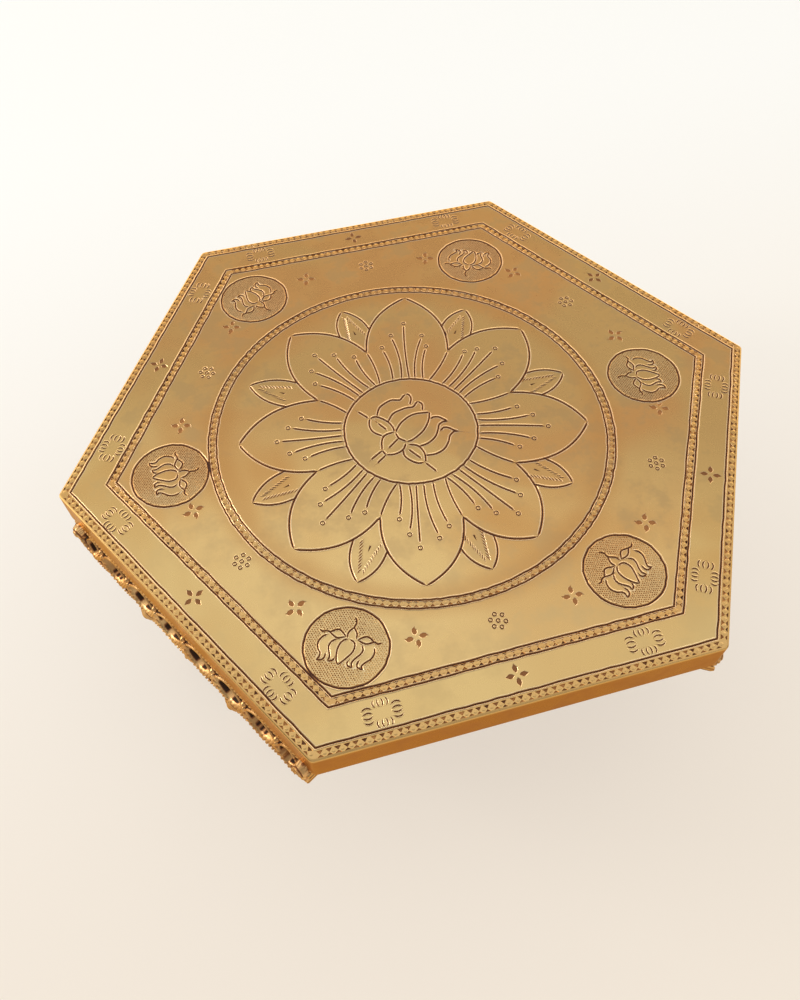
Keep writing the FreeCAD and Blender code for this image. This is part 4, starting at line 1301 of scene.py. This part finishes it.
def makeLeg():
    back = frieze["face"] - frieze["thickness"]
    top = bandLowZ / mm
    heights = np.append(np.arange(top, 0, -leg["rowStep"]), 0.0)
    behind, radius = stationCurve(np.maximum(heights, 5.0))
    limit = leg["halfTurn"]
    turn, z = np.meshgrid(np.linspace(-limit, limit, leg["columns"] + 1), heights)
    relief, dark = legRelief(turn, z)
    # plain at both ends of the curve
    relief *= np.clip((limit - np.abs(turn)) / 6, 0, 1)
    outer = radius[:, None] + relief
    inner = (radius - leg["wall"])[:, None]
    innerTurns = np.radians(np.linspace(limit, -limit, leg["backColumns"]))
    centre = (back - behind - radius)[:, None]
    xs = np.hstack([outer * np.sin(np.radians(turn)), inner * np.sin(innerTurns)])
    ys = -np.hstack([centre + outer * np.cos(np.radians(turn)),
                     centre + inner * np.cos(innerTurns)])
    count = xs.shape[1]
    zs = np.repeat(heights[:, None], count, axis=1)
    points = np.stack([xs, ys, zs], axis=2).reshape(-1, 3) * mm
    faces = []
    for row in range(len(heights) - 1):
        for column in range(count):
            following = (column + 1) % count
            faces.append((row * count + column, row * count + following,
                          (row + 1) * count + following, (row + 1) * count + column))
    faces.append(tuple(range(count)))
    faces.append(tuple((len(heights) - 1) * count + k for k in reversed(range(count))))
    piece = newPiece("legPattern", points, faces)
    inside = np.full((len(heights), leg["backColumns"]), 0.5)
    markPatinaAndSheen(piece, np.hstack([dark, inside]).ravel())
    pad = newPiece("padPattern", [(x * mm, (away - back + 1.0) * mm, (top - leg["padHeight"]) * mm)
                                  for x, away in leg["pad"]], [tuple(range(6))])
    bpy.ops.object.mode_set(mode="EDIT")
    bpy.ops.mesh.select_all(action="SELECT")
    bpy.ops.mesh.extrude_region_move(
        TRANSFORM_OT_translate={"value": (0, 0, leg["padHeight"] * mm)})
    bpy.ops.object.mode_set(mode="OBJECT")
    soften(pad)
    joinPieces(piece, [pad])
    facesOut(piece)
    return piece


castCopies(makeLeg(), ["leg_%d" % k for k in range(1, 7)],
           [(step, end * legRun) for step in (1, 3, 5) for end in (-1, 1)], castBrass)
print("legs made")


# What carries over from the CAD: the board's planks, its battens and the screws

wood = {
    "light": (0.36, 0.22, 0.12),
    "dark": (0.17, 0.09, 0.045),
    "dirt": (0.08, 0.055, 0.04),
    "plankTones": (1.0, 0.86, 1.08, 0.92, 1.02),
    "battenTone": 0.82,
}


def grainGroup():
    # slow bands from a bent wave, fine fibres and patches of dirt from noise
    group, start = newGroup("woodGrain", [("Place", "NodeSocketVector")],
                            ["Grain", "Fibres", "Dirt"])
    place = start.outputs["Place"]
    bands = node(group, "ShaderNodeTexWave",
                 {"Vector": place, "Scale": 2.6, "Distortion": 7.0, "Detail": 3.0,
                  "Detail Scale": 1.2}, bands_direction="Y")
    node(group, "NodeGroupOutput", {"Grain": bands.outputs["Fac"],
                                    "Fibres": noiseOf(group, place, 26, 6),
                                    "Dirt": noiseOf(group, place, 1.4, 5)})
    return group


woodGrain = grainGroup()


def woodMaterial(name, along, tone, shift):
    material, tree, shader, place = newMaterial(name)
    stretch = (2.5, 22, 22) if along == "X" else (22, 2.5, 22)
    turned = node(tree, "ShaderNodeMapping", {"Vector": place, "Scale": stretch,
                                              "Location": (shift, 2 * shift, 0)}).outputs[0]
    if along == "Y":
        # the bands always cross the second axis, so the place is swapped
        split = node(tree, "ShaderNodeSeparateXYZ", {0: turned}).outputs
        turned = node(tree, "ShaderNodeCombineXYZ", {"X": split["Y"], "Y": split["X"],
                                                     "Z": split["Z"]}).outputs[0]
    grain = node(tree, "ShaderNodeGroup", {"Place": turned}, node_tree=woodGrain).outputs
    light = tuple(c * tone for c in wood["light"])
    dark = tuple(c * tone for c in wood["dark"])
    color = mixColor(tree, light, dark, mapRange(tree, grain["Grain"], 0.25, 1.0, 0, 0.8))
    color = mixColor(tree, color, dark, mapRange(tree, grain["Fibres"], 0.45, 0.7, 0, 0.6))
    color = mixColor(tree, color, wood["dirt"], mapRange(tree, grain["Dirt"], 0.5, 0.75, 0, 0.7))
    fill(tree, shader, {"Base Color": color,
                        "Roughness": mapRange(tree, grain["Fibres"], 0, 1, 0.55, 0.85),
                        "Normal": bumpOf(tree, grain["Fibres"], 0.7, 0.0004)})
    return material


def dullSteel():
    material, tree, shader, place = newMaterial("dullSteelScrews")
    spots = noiseOf(tree, place, 320, 5)
    color = mixColor(tree, (0.5, 0.48, 0.44), (0.2, 0.13, 0.08),
                     mapRange(tree, spots, 0.48, 0.72, 0, 0.85))
    fill(tree, shader, {"Base Color": color,
                        "Roughness": mapRange(tree, spots, 0.3, 0.7, 0.3, 0.65),
                        "Metallic": mapRange(tree, spots, 0.5, 0.75, 1.0, 0.35),
                        "Normal": bumpOf(tree, spots, 0.4, 0.00008)})
    return material


def dress(name, material):
    # gives a CAD node its finish
    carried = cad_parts[name]
    carried.data.materials.clear()
    carried.data.materials.append(material)


for k, tone in enumerate(wood["plankTones"]):
    dress("plank_%d" % (k + 1), woodMaterial("sawnPlank%d" % (k + 1), "X", tone, 1.7 * k))
dress("batten_left", woodMaterial("sawnBattenLeft", "Y", wood["battenTone"], 0.4))
dress("batten_right", woodMaterial("sawnBattenRight", "Y", wood["battenTone"] * 1.08, 3.1))
steelFinish = dullSteel()
for name in ("leg_screws", "frieze_screws", "batten_screws"):
    dress(name, steelFinish)
print("board and screws dressed")


# Floor, light and camera

stage = {
    "floorNearShaded": (0.74, 0.67, 0.585),
    "floorFarLit": (0.80, 0.795, 0.765),
    "floorShade": 0.48,
    "floorGlow": 0.77,
    "skyColor": (1.0, 0.97, 0.92),
    "skyLow": 0.55,
    "skySeen": 0.95,
    "skyHigh": 1.0,
    "backdrop": 2.4,
    "nearSide": 0.4,
    "beyond": 0.45,
    "eye": (-0.0894, -0.2888, 0.4852),
    "down": 56.2,
    "turn": 14.83,
    "roll": -0.64,
    "lens": 29.65,
}


def makeFloor():
    deselectAll()
    bpy.ops.mesh.primitive_plane_add(size=6, location=(0, 0, 0))
    floor = bpy.context.active_object
    floor.name = "floor"
    material, tree, shader, place = newMaterial("paleFloor")
    away = node(tree, "ShaderNodeSeparateXYZ", {0: place}).outputs["Y"]
    # the floor is painted darker and warmer towards the near side as painted shade, and glows to
    # thin the shadow under the table
    tone = mixColor(tree, stage["floorNearShaded"], stage["floorFarLit"], mapRange(tree, away, -0.35, 0.55))
    shaded = mixColor(tree, tone, (stage["floorShade"],) * 3, 1.0, "MULTIPLY")
    fill(tree, shader, {"Base Color": shaded, "Roughness": 0.9, "Specular IOR Level": 0.1,
                        "Emission Color": tone, "Emission Strength": stage["floorGlow"]})
    floor.data.materials.append(material)


def makeRoom():
    world = bpy.data.worlds.new("studio")
    world.use_nodes = True
    tree = world.node_tree
    direction = node(tree, "ShaderNodeTexCoord").outputs["Generated"]
    split = node(tree, "ShaderNodeSeparateXYZ", {0: direction}).outputs
    # brighter overhead, a bright backdrop low behind, and a darker room on the near side
    high = mapRange(tree, split["Z"], 0.2, 1.0, stage["skyLow"], stage["skyHigh"])
    low = mapRange(tree, split["Z"], 0.5, 0.28, 0, stage["backdrop"])
    glow = maths(tree, "MULTIPLY_ADD", low, mapRange(tree, split["Y"], -0.1, 0.3), high)
    room = maths(tree, "ADD", mapRange(tree, split["Y"], -0.3, 0.25, stage["nearSide"], 1),
                 mapRange(tree, split["Y"], -0.4, -0.65, 0, stage["beyond"]))
    # what the camera sees directly is evenly pale
    seen = node(tree, "ShaderNodeMix", {
        0: node(tree, "ShaderNodeLightPath").outputs["Is Camera Ray"],
        2: maths(tree, "MULTIPLY", glow, room), 3: stage["skySeen"]}, data_type="FLOAT")
    fill(tree, tree.nodes["Background"], {"Color": stage["skyColor"],
                                          "Strength": seen.outputs[0]})
    bpy.context.scene.world = world


def areaLight(name, place, aim, size, power, color):
    bpy.ops.object.light_add(type="AREA", location=place)
    lamp = bpy.context.active_object
    lamp.name = name
    lamp.rotation_euler = (Vector(aim) - Vector(place)).to_track_quat("-Z", "Y").to_euler()
    lamp.data.size = size
    lamp.data.energy = power
    lamp.data.color = color


def makeCamera():
    down, turn = math.radians(stage["down"]), math.radians(stage["turn"])
    ahead = Vector((math.sin(turn) * math.cos(down), math.cos(turn) * math.cos(down),
                    -math.sin(down)))
    bpy.ops.object.camera_add(location=stage["eye"])
    camera = bpy.context.active_object
    camera.rotation_mode = "QUATERNION"
    roll = Quaternion((0, 0, 1), math.radians(stage["roll"]))
    camera.rotation_quaternion = ahead.to_track_quat("-Z", "Y") @ roll
    camera.data.lens = stage["lens"]
    camera.data.sensor_width = 36
    bpy.context.scene.camera = camera


makeFloor()
makeRoom()
areaLight("keyLight", (-1.7, 0.6, 0.9), (0, 0, 0.1), 0.6, 9, (1, 0.99, 0.97))
areaLight("fillLight", (1.2, -1.2, 1.6), (0, 0, 0.1), 1.8, 6, (1, 0.96, 0.9))
makeCamera()
bpy.context.scene.view_settings.view_transform = "Standard"
print("stage set")
